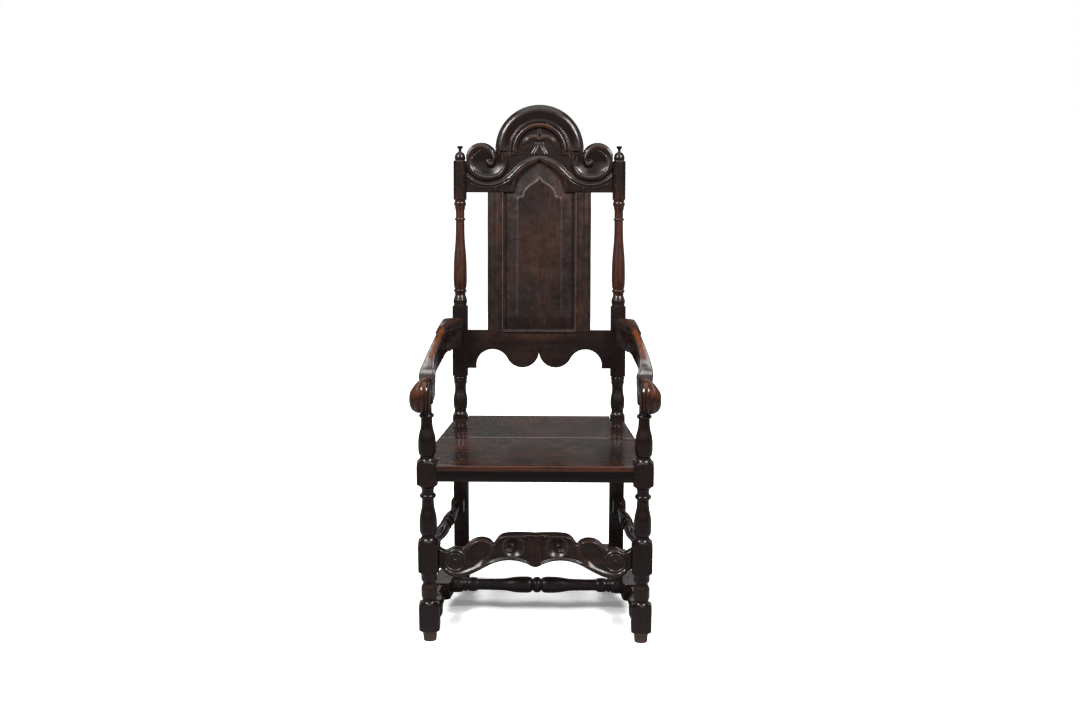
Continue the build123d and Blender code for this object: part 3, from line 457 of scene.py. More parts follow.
def resample(outline, cell):
    """Points along a closed outline, no further apart than a cell, with its corners kept."""
    points = []
    for start, end in zip(outline, np.roll(outline, -1, axis=0)):
        count = max(1, int(np.ceil(np.hypot(*(end - start)) / cell)))
        for k in range(count):
            points.append(start + (end - start) * k / count)
    return np.array(points)


def inside(outline, x, y):
    """Which points lie within a closed outline."""
    found = np.zeros(x.shape, bool)
    for (ax, ay), (bx, by) in zip(outline, np.roll(outline, -1, axis=0)):
        crosses = (ay > y) != (by > y)
        edge = np.where(crosses, (bx - ax) * (y - ay) / np.where(by == ay, 1, by - ay) + ax, -1e9)
        found ^= crosses & (x < edge)
    return found


def mark_points(piece, name, values):
    """Stores one number for each point of a piece."""
    mark = piece.data.attributes.new(name, "FLOAT", "POINT")
    mark.data.foreach_set("value", np.asarray(values, np.float32))


def normals_out(piece):
    select_only(piece)
    bpy.ops.object.mode_set(mode="EDIT")
    bpy.ops.mesh.select_all(action="SELECT")
    bpy.ops.mesh.normals_make_consistent(inside=False)
    bpy.ops.object.mode_set(mode="OBJECT")


def carved_board(name, outline, relief, back, to_space, cell):
    """A board with a carved front.

    Relief gives height, wear and painted highlight lines from the place and the distance to the board's edge.
    """
    outline = np.array(outline, float)
    rim = resample(outline, cell)
    low, high = rim.min(0), rim.max(0)
    grid = np.meshgrid(np.arange(low[0], high[0], cell), np.arange(low[1], high[1], cell * 0.87))
    x, y = grid[0].copy(), grid[1]
    x[::2] += cell / 2
    x, y = x.ravel(), y.ravel()
    closed = np.vstack([rim, rim[:1]])
    keep = inside(rim, x, y)
    x, y = x[keep], y[keep]
    gap, _ = along(closed, x, y)
    x, y = x[gap > 0.6 * cell], y[gap > 0.6 * cell]
    places = [Vector(p) for p in rim] + [Vector(p) for p in zip(x, y)]
    ring = [(k, (k + 1) % len(rim)) for k in range(len(rim))]
    flat, _, faces, _, _, _ = geometry.delaunay_2d_cdt(places, ring, [], 1, 1e-5)
    xy = np.array([tuple(p) for p in flat])
    gap, _ = along(closed, xy[:, 0], xy[:, 1])
    height, wear, highlight_lines = relief(xy[:, 0], xy[:, 1], gap)
    count = len(xy)
    front = [to_space(px, py, pt) for (px, py), pt in zip(xy, height)]
    sides = {}
    for face in faces:
        for a, b in zip(face, face[1:] + face[:1]):
            sides[(a, b)] = sides.get((a, b), 0) + 1
    edges = [(a, b) for a, b in sides if (b, a) not in sides]
    rear = [to_space(px, py, back) for px, py in xy]
    shell = [list(face) for face in faces] + [[v + count for v in reversed(face)] for face in faces]
    shell += [[b, a, a + count, b + count] for a, b in edges]
    piece = mesh_piece(name, front + rear, shell)
    # Stores the wear and the painted highlight lines on the points.
    for mark, values in (("rub", wear), ("highlight_lines", highlight_lines)):
        mark_points(piece, mark, np.concatenate([values, np.zeros(count)]))
    normals_out(piece)
    smooth_shading(piece)
    return piece


def hand_work(x, y, size, strength, seed=0.0):
    """Small unevenness left by hand tools."""
    return np.array([noise.noise(Vector((a / size, b / size, seed))) for a, b in zip(x, y)]) * strength


def edge_round(gap, radius):
    """How far a rounded arris falls below the face."""
    inner = np.clip(radius - gap, 0, radius)
    return radius - np.sqrt(radius ** 2 - inner ** 2)


def on_back(x, rise, forward):
    """A point of the leaning back, from millimetres across, up the rake and forward."""
    return BACK_FOOT + (ACROSS * x + UP_BACK * rise + FORWARD * forward) * MM


def broken(lines, x, y, seed, level=0.8, size=8, strength=0.6):
    """Painted highlight lines, fainter in places."""
    return np.clip(lines * (level + hand_work(x, y, size, strength, seed)), 0, 1)


def finish_piece(piece, material, slot, *replaced):
    """Fixes a finished piece to the chair."""
    dress(piece, material)
    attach(piece, "root")
    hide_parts(*replaced)


def mirrored(points):
    """A right-hand half outline, completed by its mirror image."""
    points = [tuple(p) for p in points]
    return points + [(-x, y) for x, y in reversed(points) if x > 1e-6]


FINE_CELL, PLAIN_CELL = 1.15, 2.2       # spacing of the points of carved and of plainer boards


# ---------------- crest rail

CREST_FOOT, CREST_SEAM = 591.5, 686.0
CREST_END = 187.25
VOLUTE = (148.0, 677.5)
VOLUTE_RADIUS = 40.3
BOSS = (128.0, 664.5)
OPENING_HALF, OPENING_APEX = 65.0, 674.0


def arc(centre, radius, start, end, count=40):
    """Points of an arc, angles in degrees."""
    turn = np.radians(np.linspace(start, end, count))
    return [(centre[0] + radius * cos(a), centre[1] + radius * sin(a)) for a in turn]


def bezier(p0, p1, p2, p3, count=24):
    t = np.linspace(0, 1, count)[:, None]
    p0, p1, p2, p3 = (np.array(p, float) for p in (p0, p1, p2, p3))
    points = (1 - t) ** 3 * p0 + 3 * (1 - t) ** 2 * t * p1 + 3 * (1 - t) * t ** 2 * p2 + t ** 3 * p3
    return [tuple(p) for p in points]


def pointed_opening(grow=0.0):
    """Right half of the crest rail's pointed opening, from its foot to its apex, or of a larger one."""
    rise = OPENING_APEX - CREST_FOOT
    return bezier(
        (OPENING_HALF + grow, CREST_FOOT + grow),
        (OPENING_HALF + grow, CREST_FOOT + rise * 0.6 + grow),
        (OPENING_HALF * 0.35 + grow, OPENING_APEX - rise * 0.2 + grow),
        (0, OPENING_APEX + grow),
    )


def crest_outline():
    end_angle = np.degrees(np.arccos((CREST_END - VOLUTE[0]) / VOLUTE_RADIUS))
    seam_angle = 180 - np.degrees(np.arcsin((CREST_SEAM - VOLUTE[1]) / VOLUTE_RADIUS))
    right = pointed_opening()[::-1] + [(CREST_END, CREST_FOOT)]
    right += arc(VOLUTE, VOLUTE_RADIUS, end_angle, seam_angle)
    return mirrored(right)


VOLUTE_BAND = curve([
    (92, 696), (87, 684), (86, 668), (91, 650), (104, 635), (126, 628), (150, 631), (170, 643),
    (180, 662), (180, 684), (170, 700), (151, 707), (134, 702), (121, 689), (117, 674), (122, 661.5),
])
VOLUTE_WIDTHS = [3, 5, 5.5, 6, 6, 6, 6.2, 6.5, 7, 7.8, 9, 9.5, 8.5, 7, 5.5, 3.5]
VOLUTE_RIB_KNOTS = [(82, 626.5), (101, 615), (126, 609), (150, 611.5), (172, 621), (187, 633)]
VOLUTE_RIB = curve(VOLUTE_RIB_KNOTS)
OUTER_RIB = curve([(0, 682), (13, 676), (34, 667), (52, 655), (67, 640)] + VOLUTE_RIB_KNOTS)
LOWER_RIB = curve([(50, 652), (64, 637), (80, 621), (100, 608.5), (128, 603), (154, 605), (176, 613)])
BEAD_SHIFT = (3.4, 3.4, 3.4, 3.06, 2.38, 1.36)     # of the bead, out from the opening's edge
OPENING_BEAD = curve([(x + shift, y + 3.0) for (x, y), shift in zip(pointed_opening()[::4], BEAD_SHIFT)])


def crest_relief(x, y, gap):
    """A ribbon round the opening, a hollow with a volute at each end, and beads between them."""
    a = np.abs(x)
    rib = np.interp(a, *np.array(OUTER_RIB).T)
    off, _ = along(OUTER_RIB, a, y)
    signed = np.where(y > rib, off, -off)
    ribbon = 10.8 - 1.6 * ease(-signed, 4, 20) - 0.8 * thin(signed + 4.5, 1.3)
    flank = 10.8 - 0.34 * np.clip(signed + 1.5, 0, None) ** 1.25
    height = np.where(signed < -1.5, ribbon, np.maximum(flank, 5.5))
    height = blend(height, 7.0, ease(a, 76, 92) * fade(signed, -3, 3))
    hollow = np.hypot((a - 134) / 1.12, y - 664)
    height = blend(height, 2.5 + 9.0 * np.clip(hollow / 38, 0, 1) ** 2, fade(hollow, 36, 40))
    height = raise_band(height, LOWER_RIB, [1.0, 2.2, 2.4, 2.2, 1.0], 6.5, 8.0, a, y, 1.0)
    height = raise_band(height, OPENING_BEAD, [2.4, 2.4, 2.4], 7.5, 10.2, a, y, 1.2)
    height = raise_band(height, VOLUTE_RIB, [2.4, 3.4, 3.4, 3.0, 2.4], 6.5, 9.8, a, y, 1.2)
    turn, share = along(VOLUTE_BAND, a, y)
    half = spread(VOLUTE_WIDTHS, share)
    band = rounded_band(turn, half, 9.5, 13.6, 1.5)
    band -= 0.7 * thin(turn - half * 0.55, 0.9) * ease(half, 5, 7)
    height = join(band, height, 2.0)
    boss = np.hypot((a - BOSS[0]) / 0.85, y - BOSS[1])
    height = lay_band(height, boss, 8.0, 7.5, 14.0, 1.8)
    height -= edge_round(gap, 2.0)
    height += hand_work(x, y, 14, 0.25) + hand_work(x, y, 38, 0.5, 3)
    wear = 0.10 * ease(height, 11.5, 14.0) * ease(y, 690, 706) + 0.04 * ease(height, 9.5, 11.5)
    wear += 0.06 * ease(-signed, 0, 6) * fade(a, 50, 80)
    wear += 0.10 * np.clip(1 - boss / 10, 0, 1)
    # Painted highlight lines along the volute band and the ribbon.
    lines = 0.22 * thin(turn - half * 0.55, 0.8) * ease(half, 5, 7) * fade(y, 680, 700)
    lines += 0.2 * thin(signed + 1.0, 0.8) * fade(a, 76, 86)
    return height, wear, broken(lines, x, y, 18)


crest_rail = carved_board("crest_rail_carved", crest_outline(), crest_relief, -15.0, on_back, FINE_CELL)
finish_piece(crest_rail, CREST_CARVED_OAK, "dark_oak", "crest_rail")

# ---------------- arched crest

ARCH_SPRING, ARCH_RADIUS = 700.5, 113.0
FIELD_SPRING = 698.0                    # centre of the sunk field and the mouldings round it
ARCH_BEAD, ARCH_RIDGE = 74.0, 64.3      # radii of those mouldings
SEAM_PLAY = 0.15


def arch_outline():
    cut = VOLUTE_RADIUS + SEAM_PLAY
    seam_x = VOLUTE[0] - sqrt(cut ** 2 - (CREST_SEAM - VOLUTE[1]) ** 2)
    side_y = VOLUTE[1] + sqrt(max(cut ** 2 - (VOLUTE[0] - ARCH_RADIUS) ** 2, 0))
    start = np.degrees(np.arcsin(max(side_y - ARCH_SPRING, 0) / ARCH_RADIUS))
    right = [(seam_x, CREST_SEAM)] + arc((0, ARCH_SPRING), ARCH_RADIUS, start, 90, 60)
    return mirrored(right)


SIDE_LEAF = curve([(4, 728.5), (14, 730.5), (25, 728), (34, 721.5), (39, 713.5)])


def arch_relief(x, y, gap):
    """A broad moulding, a bead and a ridge round a sunk field with a leaf, a petal and stems."""
    a = np.abs(x)
    outer = np.hypot(x, np.clip(y - ARCH_SPRING, 0, None))
    inner = np.hypot(x, np.clip(y - FIELD_SPRING, 0, None))
    height = 5.0 + 7.0 * ease(outer, 78, 97) - 9.5 * np.clip((outer - 95) / 18, 0, 1) ** 2
    height = lay_band(height, np.abs(inner - ARCH_BEAD), 3.2, 5.5, 9.0, 1.2)
    ridge = rounded_band(np.abs(inner - ARCH_RIDGE), 6.4, 7.0, 12.0, 1.6) - 0.8 * thin(inner - 61.5, 0.9)
    height = join(ridge, height)
    field = 2.0 + 0.8 * fade(inner, 0, 57)
    leaf, share = along(SIDE_LEAF, a, y)
    half = np.interp(share, [0, 0.3, 0.6, 0.85, 1], [6.5, 7.5, 6.5, 4.0, 1.5])
    field = lay_band(field, leaf, half, 4.0, 7.4, 1.3)
    field -= 0.9 * thin(leaf - half * 0.5, 1.2) * ease(share, 0.05, 0.3)
    middle, share = along([(0, 722), (0, 754)], a, y)
    half = np.interp(share, [0, 0.4, 0.75, 1], [3, 5, 3, 0.6])
    field = lay_band(field, middle, half, 2.5, 6.6, 1.2)
    field -= 4.0 * thin(np.hypot(a, y - 733), 2.6)
    stem = 3.6 + 10.0 * ease(714 - y, 0, 26) ** 1.4
    on_stem = rounded_band(a, stem, 6.8, 7.4, 0.56)
    field = join(field, on_stem - 9 * ease(y, 716, 724), 1.0)
    height = np.where(inner < 59.0, join(ridge, field), height)
    ledge = fade(y, 694.0, 697.0) * ease(a, 63, 68) * fade(a, 98, 102)
    height = blend(height, 4.5, ledge)
    height -= edge_round(gap, 1.2)
    height += hand_work(x, y, 14, 0.2, 7) + hand_work(x, y, 40, 0.6, 9)
    wear = 0.30 * ease(inner, 58.5, 61.5) * fade(inner, 65, 69) * ease(y, 735, 762)
    wear += 0.04 * ease(height, 10.5, 12.5) + 0.12 * ledge + 0.10 * (leaf < 5) * (y < 745) * (a < 40)
    # Painted highlight lines along the ridge, the bead, the leaf, the petal and the stem.
    low_down = fade(y, 735, 762)
    lines = 0.55 * thin(inner - 66.5, 0.9) * low_down + 0.25 * thin(inner - 59.5, 0.8) * low_down
    lines += 0.35 * thin(inner - 75.5, 1.4) * fade(y, 718, 740)
    leaf_top = np.interp(a, [5, 12, 26, 34, 40], [734.5, 737.5, 735, 727.5, 716])
    lines += 0.5 * thin(y - leaf_top, 0.9) * ease(a, 3, 8) * fade(a, 37, 40)
    leaf_foot = np.interp(a, [5, 14, 26, 37], [719.5, 722, 722, 713.5])
    lines += 0.25 * thin(y - leaf_foot, 0.8) * ease(a, 10, 14) * fade(a, 36, 40)
    petal_side = np.interp(y, [734, 742, 754], [5, 3.6, 0.5])
    lines += 0.4 * thin(a - petal_side, 0.8) * ease(y, 732, 736) * fade(y, 752, 756)
    lines += 0.3 * thin(a - stem, 0.9) * (y < 714)
    return height, wear, broken(lines, x, y, 17)


crest_arch = carved_board("crest_arch_carved", arch_outline(), arch_relief, -13.0, on_back, FINE_CELL)
finish_piece(crest_arch, CREST_CARVED_OAK, "dark_oak", "crest_arch")

# ---------------- panel, stiles and lower rail

RAIL_TOP = 238.0
PANEL_SIGHT = 91.0


def panel_outline():
    tongue = 6.0
    side = PANEL_SIGHT + tongue
    return mirrored([(side, RAIL_TOP - tongue), (side, CREST_FOOT + tongue)] + pointed_opening(tongue))


FIELD_HEAD = curve([(55, 580), (43, 582), (40, 592), (33, 603), (22, 612), (9, 620), (0, 632)])
FIELD = np.array(mirrored([(57, 271), (57, 576), *FIELD_HEAD]))
MARGIN_SLOPE = 0.155


def panel_relief(x, y, gap):
    """A flat field above sloping margins, and a thinner tongue round the edge."""
    edge, _ = along(np.vstack([FIELD, FIELD[:1]]), x, y)
    within = inside(FIELD, x, y)
    margin = 5.2 - MARGIN_SLOPE * edge
    height = np.where(within, margin + ease(edge, 0, 2.6) + MARGIN_SLOPE * edge, margin)
    tongue = ease(gap, 4.5, 6.5)
    height = 3.0 * (1 - tongue) + np.maximum(height, -1.0) * tongue
    height += (hand_work(x, y, 12, 0.25, 11) + hand_work(x, y, 60, 0.7, 12)) * tongue
    wear = 0.04 * within * (edge < 2.2) + 0.10 * within * ease(y, 330, 440) * fade(y, 480, 580)
    wear = np.clip(wear - 0.02 * (1 - within), 0, 1)
    # Painted highlight lines round the field and along the sight edge.
    strength = 0.16 + 0.34 * ease(y, 560, 585) - 0.10 * fade(y, 274, 282)
    lines = strength * thin(edge - 0.8, 0.9) + 0.2 * thin(np.abs(x) - PANEL_SIGHT + 1.2, 1.0)
    return height, wear, broken(lines, x, y, 15, level=0.75, size=9)


panel = carved_board("back_panel_raised", panel_outline(), panel_relief, -3.0, on_back, PLAIN_CELL)
finish_piece(panel, PANEL_CARVED_OAK, "dark_oak", "back_panel")


def moulded_stile(side, name):
    """An upright with a bead at each edge and a hollow between them."""
    inner, outer = PANEL_SIGHT, 132.5
    profile = [(inner, -14.0), (inner, 10.0)]
    profile += [(inner + 3 - 3 * cos(t), 10.0 + 3.2 * sin(t)) for t in np.linspace(0.1, 2.6, 9)]
    profile += [(inner + 8.2 - 2.2 * cos(t), 9.6 + 2.2 * sin(t)) for t in np.linspace(0.5, 2.8, 7)]
    hollow_start, hollow_end = inner + 11, outer - 7
    for t in np.linspace(0, 1, 13):
        profile.append((hollow_start + (hollow_end - hollow_start) * t, 10.6 - 3.4 * sin(pi * t)))
    profile += [(outer - 3.4 - 3.2 * cos(t), 10.4 + 2.6 * sin(t)) for t in np.linspace(0.1, 3.05, 9)]
    profile += [(outer, 9.0), (outer, -14.0)]
    rises = np.linspace(RAIL_TOP, CREST_FOOT, 60)
    points = []
    for rise in rises:
        for x, forward in profile:
            wander = 0.5 * noise.noise(Vector((rise / 60, side, forward / 30))) if x > outer - 8 else 0
            dint = 0.35 * noise.noise(Vector((rise / 18, x / 9, side * 5))) if forward > 5 else 0
            points.append(on_back(side * (x + wander), rise, forward + dint))
    piece = mesh_piece(name, points, tube_faces(0, len(rises), len(profile)))
    places = [(x - inner, forward > 11) for _ in rises for x, forward in profile]
    mark_points(piece, "rub", [0.08 if proud and x < 5.5 else 0.03 for x, proud in places])
    # Painted highlight: a pale line along the crest of the inner bead.
    mark_points(piece, "highlight_lines", [0.22 if proud and abs(x - 3) < 1.2 else 0 for x, proud in places])
    normals_out(piece)
    smooth_shading(piece)
    return piece


for label, side in (("left", -1), ("right", 1)):
    stile = moulded_stile(side, f"panel_stile_{label}_moulded")
    finish_piece(stile, STILE_CARVED_OAK, "dark_oak", f"panel_stile_{label}")

RAIL_END, RAIL_FOOT = 184.5, 140.0
HOLLOW_X, HOLLOW_RADIUS, HOLLOW_TOP = 120.0, 42.0, 189.0
LOBE_X, LOBE_FOOT = 42.5, 142.0


def through(a, b, c, count=30):
    """Points of the arc from a through b to c."""
    (ax, ay), (bx, by), (cx, cy) = a, b, c
    d = 2 * (ax * (by - cy) + bx * (cy - ay) + cx * (ay - by))
    a2, b2, c2 = ax * ax + ay * ay, bx * bx + by * by, cx * cx + cy * cy
    ux = (a2 * (by - cy) + b2 * (cy - ay) + c2 * (ay - by)) / d
    uy = (a2 * (cx - bx) + b2 * (ax - cx) + c2 * (bx - ax)) / d
    radius = np.hypot(ax - ux, ay - uy)
    first, middle, last = [np.degrees(np.arctan2(y - uy, x - ux)) for x, y in (a, b, c)]
    way = 1 if (middle - first) % 360 < (last - first) % 360 else -1
    sweep = (last - first) % 360 if way > 0 else -((first - last) % 360)
    return arc((ux, uy), radius, first, first + sweep, count)


def lower_rail_outline():
    meeting = ((HOLLOW_X + LOBE_X) / 2, RAIL_FOOT + 0.52 * (HOLLOW_TOP - RAIL_FOOT))
    hollow_start = (HOLLOW_X + HOLLOW_RADIUS, RAIL_FOOT)
    right = [(0, HOLLOW_TOP)]
    right += through((0, HOLLOW_TOP), (LOBE_X, LOBE_FOOT), meeting)[1:]
    right += through(meeting, (HOLLOW_X, HOLLOW_TOP), hollow_start)[1:]
    return mirrored(right + [(RAIL_END, RAIL_FOOT), (RAIL_END, RAIL_TOP)])


def lower_rail_relief(x, y, gap):
    """A flat face with a bead and two grooves under the panel."""
    a = np.abs(x)
    height = np.full(x.shape, 12.4)
    near_panel = fade(a, 90, 96)
    bead_and_grooves = 0.6 * roll(y - 235.2, 2.6) - 2.2 * roll(y - 230.6, 1.6) - 0.9 * roll(y - 225.5, 1.2)
    height += near_panel * bead_and_grooves
    height -= edge_round(gap, 2.4) * (y < 233) * (a < RAIL_END - 4)
    height += hand_work(x, y, 14, 0.3, 21) + hand_work(x, y, 45, 0.6, 22)
    wear = 0.04 * (gap < 2.0) * (y < 200) + 0.14 * ease(y, 208, 224) * fade(y, 226, 231) * fade(a, 25, 80)
    # Painted highlight: a pale line along the bead under the panel.
    return height, wear, broken(0.4 * near_panel * thin(y - 236.0, 1.4), x, y, 25, level=0.7, size=9)


lower_rail = carved_board(
    "lower_back_rail_shaped", lower_rail_outline(), lower_rail_relief, -13.0, on_back, PLAIN_CELL
)
finish_piece(lower_rail, RAIL_CARVED_OAK, "dark_oak", "lower_back_rail")

# ---------------- seat boards

INNER_FACE = (front_x - (foot_high.x - foot_low.x) / 2) / MM
SEAT_SIDE = front_x + 0.017             # a side edge, abreast of the front posts
SIDE_SLOPE = (front_x - rear_x) / (rear_y - front_y) + 4.5 / 415
NOTCH_PLAY = 1.0 * MM

plank_swell = bpy.data.textures.new("plank swell", "CLOUDS")
plank_swell.noise_scale = 0.07


def cut_along(place, normal, clear=False):
    """Cuts the mesh being edited along a plane, and clears what lies beyond it if asked."""
    bpy.ops.mesh.select_all(action="SELECT")
    bpy.ops.mesh.bisect(plane_co=place, plane_no=normal, clear_outer=clear)


def choose(piece, kind, test):
    """Selects the faces or edges of the mesh being edited whose middle passes a test."""
    bpy.ops.mesh.select_mode(type="FACE" if kind == "polygons" else "EDGE")
    bpy.ops.mesh.select_all(action="DESELECT")
    bpy.ops.object.mode_set(mode="OBJECT")
    mesh = piece.data
    for item in getattr(mesh, kind):
        middle = sum((mesh.vertices[v].co for v in item.vertices), Vector()) / len(item.vertices)
        item.select = test(middle)
    bpy.ops.object.mode_set(mode="EDIT")


def add_modifier(piece, name, kind, **settings):
    """Adds a modifier and applies it."""
    select_only(piece)
    modifier = piece.modifiers.new(name, kind)
    for key, value in settings.items():
        setattr(modifier, key, value)
    bpy.ops.object.modifier_apply(modifier=name)


def seat_board(node, notch_x, notch_y, nose):
    """A worn seat board with slanting ends, notched round two posts.

    The front board has a nose and its notches lie ahead of notch_y; those of the rear board, behind it.
    """
    low, high, middle = span(node)
    bpy.ops.object.select_all(action="DESELECT")
    bpy.ops.mesh.primitive_grid_add(
        x_subdivisions=64, y_subdivisions=26, size=1, location=(0, middle.y, high.z),
    )
    board = bpy.context.active_object
    board.name = f"{node}_worn"
    board.scale = (high.x - low.x, high.y - low.y, 1)
    bpy.ops.object.transform_apply(location=True, rotation=False, scale=True)
    bpy.ops.object.mode_set(mode="EDIT")
    for side in (-1, 1):
        cut_along((side * SEAT_SIDE, front_y, 0), (side, SIDE_SLOPE, 0), clear=True)
        cut_along((side * notch_x, 0, 0), (side, 0, 0))
    cut_along((0, notch_y, 0), (0, 1, 0))
    choose(board, "polygons", lambda m: abs(m.x) > notch_x and (m.y < notch_y) == nose)
    bpy.ops.mesh.delete(type="FACE")
    bpy.ops.mesh.select_all(action="SELECT")
    bpy.ops.mesh.extrude_region_move(TRANSFORM_OT_translate={"value": (0, 0, low.z - high.z)})
    bpy.ops.mesh.select_all(action="SELECT")
    bpy.ops.mesh.normals_make_consistent(inside=False)
    if nose:
        near_face = 0.4 * (high.z - low.z)
        choose(board, "edges", lambda m: m.y < low.y + 1e-5 and abs(m.z - middle.z) > near_face)
        bpy.ops.mesh.bevel(offset=0.0042, segments=4, affect="EDGES")
    bpy.ops.object.mode_set(mode="OBJECT")
    add_modifier(board, "eased arrises", "BEVEL", width=0.0004, segments=2, limit_method="ANGLE",
                 angle_limit=radians(40))
    add_modifier(board, "swell", "DISPLACE", texture=plank_swell, texture_coords="GLOBAL", direction="Z",
                 strength=0.0003, mid_level=0.5)
    smooth_shading(board)
    finish_piece(board, SEAT_OAK, "dark_oak", node)


front_post_back = front_y + (foot_high.x - foot_low.x) / 2 + NOTCH_PLAY
rear_post_front = rear_y - leg_side / 2 - NOTCH_PLAY
seat_board("seat_board_front", INNER_FACE * MM - NOTCH_PLAY, front_post_back, True)
seat_board("seat_board_rear", rear_x - leg_side / 2 - NOTCH_PLAY, rear_post_front, False)

# ---------------- carved front stretcher

STRETCHER_Y = span("front_stretcher")[2].y
STRETCHER_DROP = 2.0

STRETCHER_RIGHT = np.vstack([
    curve([(0, 268.5), (18, 269.5), (50, 269.8), (72, 267.5), (84, 261.5), (92, 251), (98, 243)], steps=6),
    curve([(98, 243), (104, 250.5), (113, 255.5), (126, 257.5), (140, 255), (151, 248.5), (161, 238.5)],
          steps=6),
    curve([(161, 238.5), (170, 232), (180, 233.5), (192, 233.5), (204, 228), (212, 225.5),
           (INNER_FACE, 234)], steps=6),
    curve([(INNER_FACE, 185), (219, 181), (212, 172.5), (200, 165), (186, 161.5), (172, 162),
           (158, 166.5), (146, 172.5), (134, 178.5), (120, 186.5), (104, 195), (90, 200), (74, 204),
           (56, 204.7), (38, 202), (24, 197.5), (10, 191.5), (0, 188.5)], steps=4),
])

LOWER_RIM = curve([
    (4, 195.5), (20, 200.5), (38, 206.5), (58, 209), (78, 207.5), (98, 202), (118, 192.5),
    (136, 182.5), (152, 174), (168, 168.5), (184, 167.5), (199, 171.5), (210, 181),
])
RIM_WIDTHS = [3, 3.4, 3.6, 3.8, 4, 4.2, 4.4, 4.6, 4.6, 4.6, 4.6, 4.4, 4]
LIP = curve([
    (110, 200), (122, 194), (136, 186.5), (150, 180), (162, 175), (174, 171.5), (187, 171),
    (199, 174.5), (208, 182),
])
SWEEP = curve([(98, 246), (102, 234), (106, 220), (114, 205), (127, 192)])
LOBE_RIM = curve([
    (104, 240), (109, 248), (118, 252), (129, 252.5), (141, 249), (151, 241), (158, 230), (162, 216),
    (160, 203),
])
CROWN_RIM = curve([(94, 241), (89, 252), (81, 260), (68, 264), (50, 265), (34, 264), (22, 264)])
EYE = (51.5, 238.0)
COIL = (188, 204)
EYE_CURL = curve([
    (36, 257), (44, 261), (54, 262), (64, 258), (71, 249), (72.5, 238), (68, 229), (59, 226), (52, 231),
    (51.5, 239), (56, 243),
])
CURL_WIDTHS = [2.4, 3, 3.4, 3.8, 4, 4, 3.8, 3.6, 3.4, 3.2, 2.6]


def stretcher_relief(x, y, gap):
    """Two eyes beside a reeded middle, a lobe on each side of them and a coil at each end."""
    a = np.abs(x)
    height = np.full(x.shape, 7.5)
    dish = np.hypot((a - 131) / 34, (y - 223) / 33)
    height = blend(height, 2.0 + 5.5 * np.clip(dish, 0, 1) ** 2, fade(dish, 0.95, 1.15))
    coil = np.hypot(a - COIL[0], y - COIL[1])
    disc = 6.6 + 3.2 * np.clip(coil / 19, 0, 1) ** 2 - 3.0 * thin(coil - 20.8, 1.3)
    height = blend(height, disc, fade(coil, 22, 25))
    eye = np.hypot(a - EYE[0], y - EYE[1])
    height = blend(height, 12.0 * np.clip(eye / 24, 0, 1) ** 2 - 3.0, fade(eye, 23.5, 25.0))
    height = raise_band(height, EYE_CURL, CURL_WIDTHS, 2.0, 6.4, a, y, 1.6)
    height = lay_band(height, np.abs(eye - 26.5), 2.4, 8.0, 10.0, 0.9)
    for rim, widths, foot, crown in (
        (CROWN_RIM, [2.5, 3.6, 4, 3.8, 2.5], 8.5, 12.0),
        (SWEEP, [3, 5, 5.5, 5, 3], 8.0, 11.6),
        (LOBE_RIM, [2, 3.4, 4.0, 4.2, 4, 3.2, 2.0], 8.0, 12.0),
    ):
        height = raise_band(height, rim, widths, foot, crown, a, y, 1.2)
    height = lay_band(height, np.abs(coil - 24.2), 2.6, 8.0, 10.4, 1.0)
    height = raise_band(height, LOWER_RIM, RIM_WIDTHS, 8.5, 12.2, a, y, 1.2)
    height = raise_band(height, LIP, [0.6, 1.2, 1.6, 1.8, 1.8, 1.6, 1.2, 0.6], 12.2, 12.6, a, y, 0.83)
    height = lay_band(height, coil, 4.5, 7, 9.6, 1.0)
    reeds = 9.3 + 2.4 * np.abs(np.cos(np.pi * (x + 1.5) / 6.2))
    reeded = 16.5 + 4 * ease(y, 245, 262) - 3 * fade(y, 195, 215)
    height = np.minimum(blend(height, reeds, ease(reeded - a, -0.8, 1.4)), 12.6)
    height -= edge_round(gap, 3.0)
    height += hand_work(x, y, 14, 0.3, 31) + hand_work(x, y, 36, 0.4, 32)
    wear = 0.3 * ease(height, 10.5, 12.4) * ease(y, 243, 252) * ease(a, 104, 112) * fade(a, 138, 146)
    wear += 0.05 * ease(height, 10.5, 12.4) + 0.03 * (a < 17)
    sweep, _ = along(SWEEP, a, y)
    wear += 0.05 * fade(sweep, 3, 6)
    curl, _ = along(EYE_CURL, a, y)
    lobe_edge, _ = along(LOBE_RIM, a, y)
    # Painted highlight lines round the eyes, curls, coils, lobes and sweeps.
    lines = 0.10 * thin(eye - 25.0, 0.9) + 0.10 * thin(curl - 3.0, 0.8) + 0.10 * thin(coil - 22.6, 0.8)
    lines += 0.08 * thin(coil - 18.5, 0.8) + 0.09 * thin(lobe_edge - 3.6, 0.8) + 0.08 * thin(sweep - 4.6, 0.8)
    return height, wear, broken(1.7 * lines, x, y, 33, size=9, strength=0.8)


def upright_board(middle_y):
    """Places a board's face: across, up and forward of its middle plane."""
    return lambda x, z, forward: Vector((x * MM, middle_y - forward * MM, (z - STRETCHER_DROP) * MM))


stretcher_outline = np.vstack([STRETCHER_RIGHT, (STRETCHER_RIGHT * (-1, 1))[::-1]])
MERGE_DISTANCE = 0.05
keep = np.hypot(*(stretcher_outline - np.roll(stretcher_outline, 1, axis=0)).T) > MERGE_DISTANCE
front_stretcher = carved_board(
    "front_stretcher_carved", stretcher_outline[keep], stretcher_relief, -13.0, upright_board(STRETCHER_Y),
    FINE_CELL,
)
finish_piece(front_stretcher, STRETCHER_CARVED_OAK, "dark_oak", "front_stretcher")

# ---------------- arms

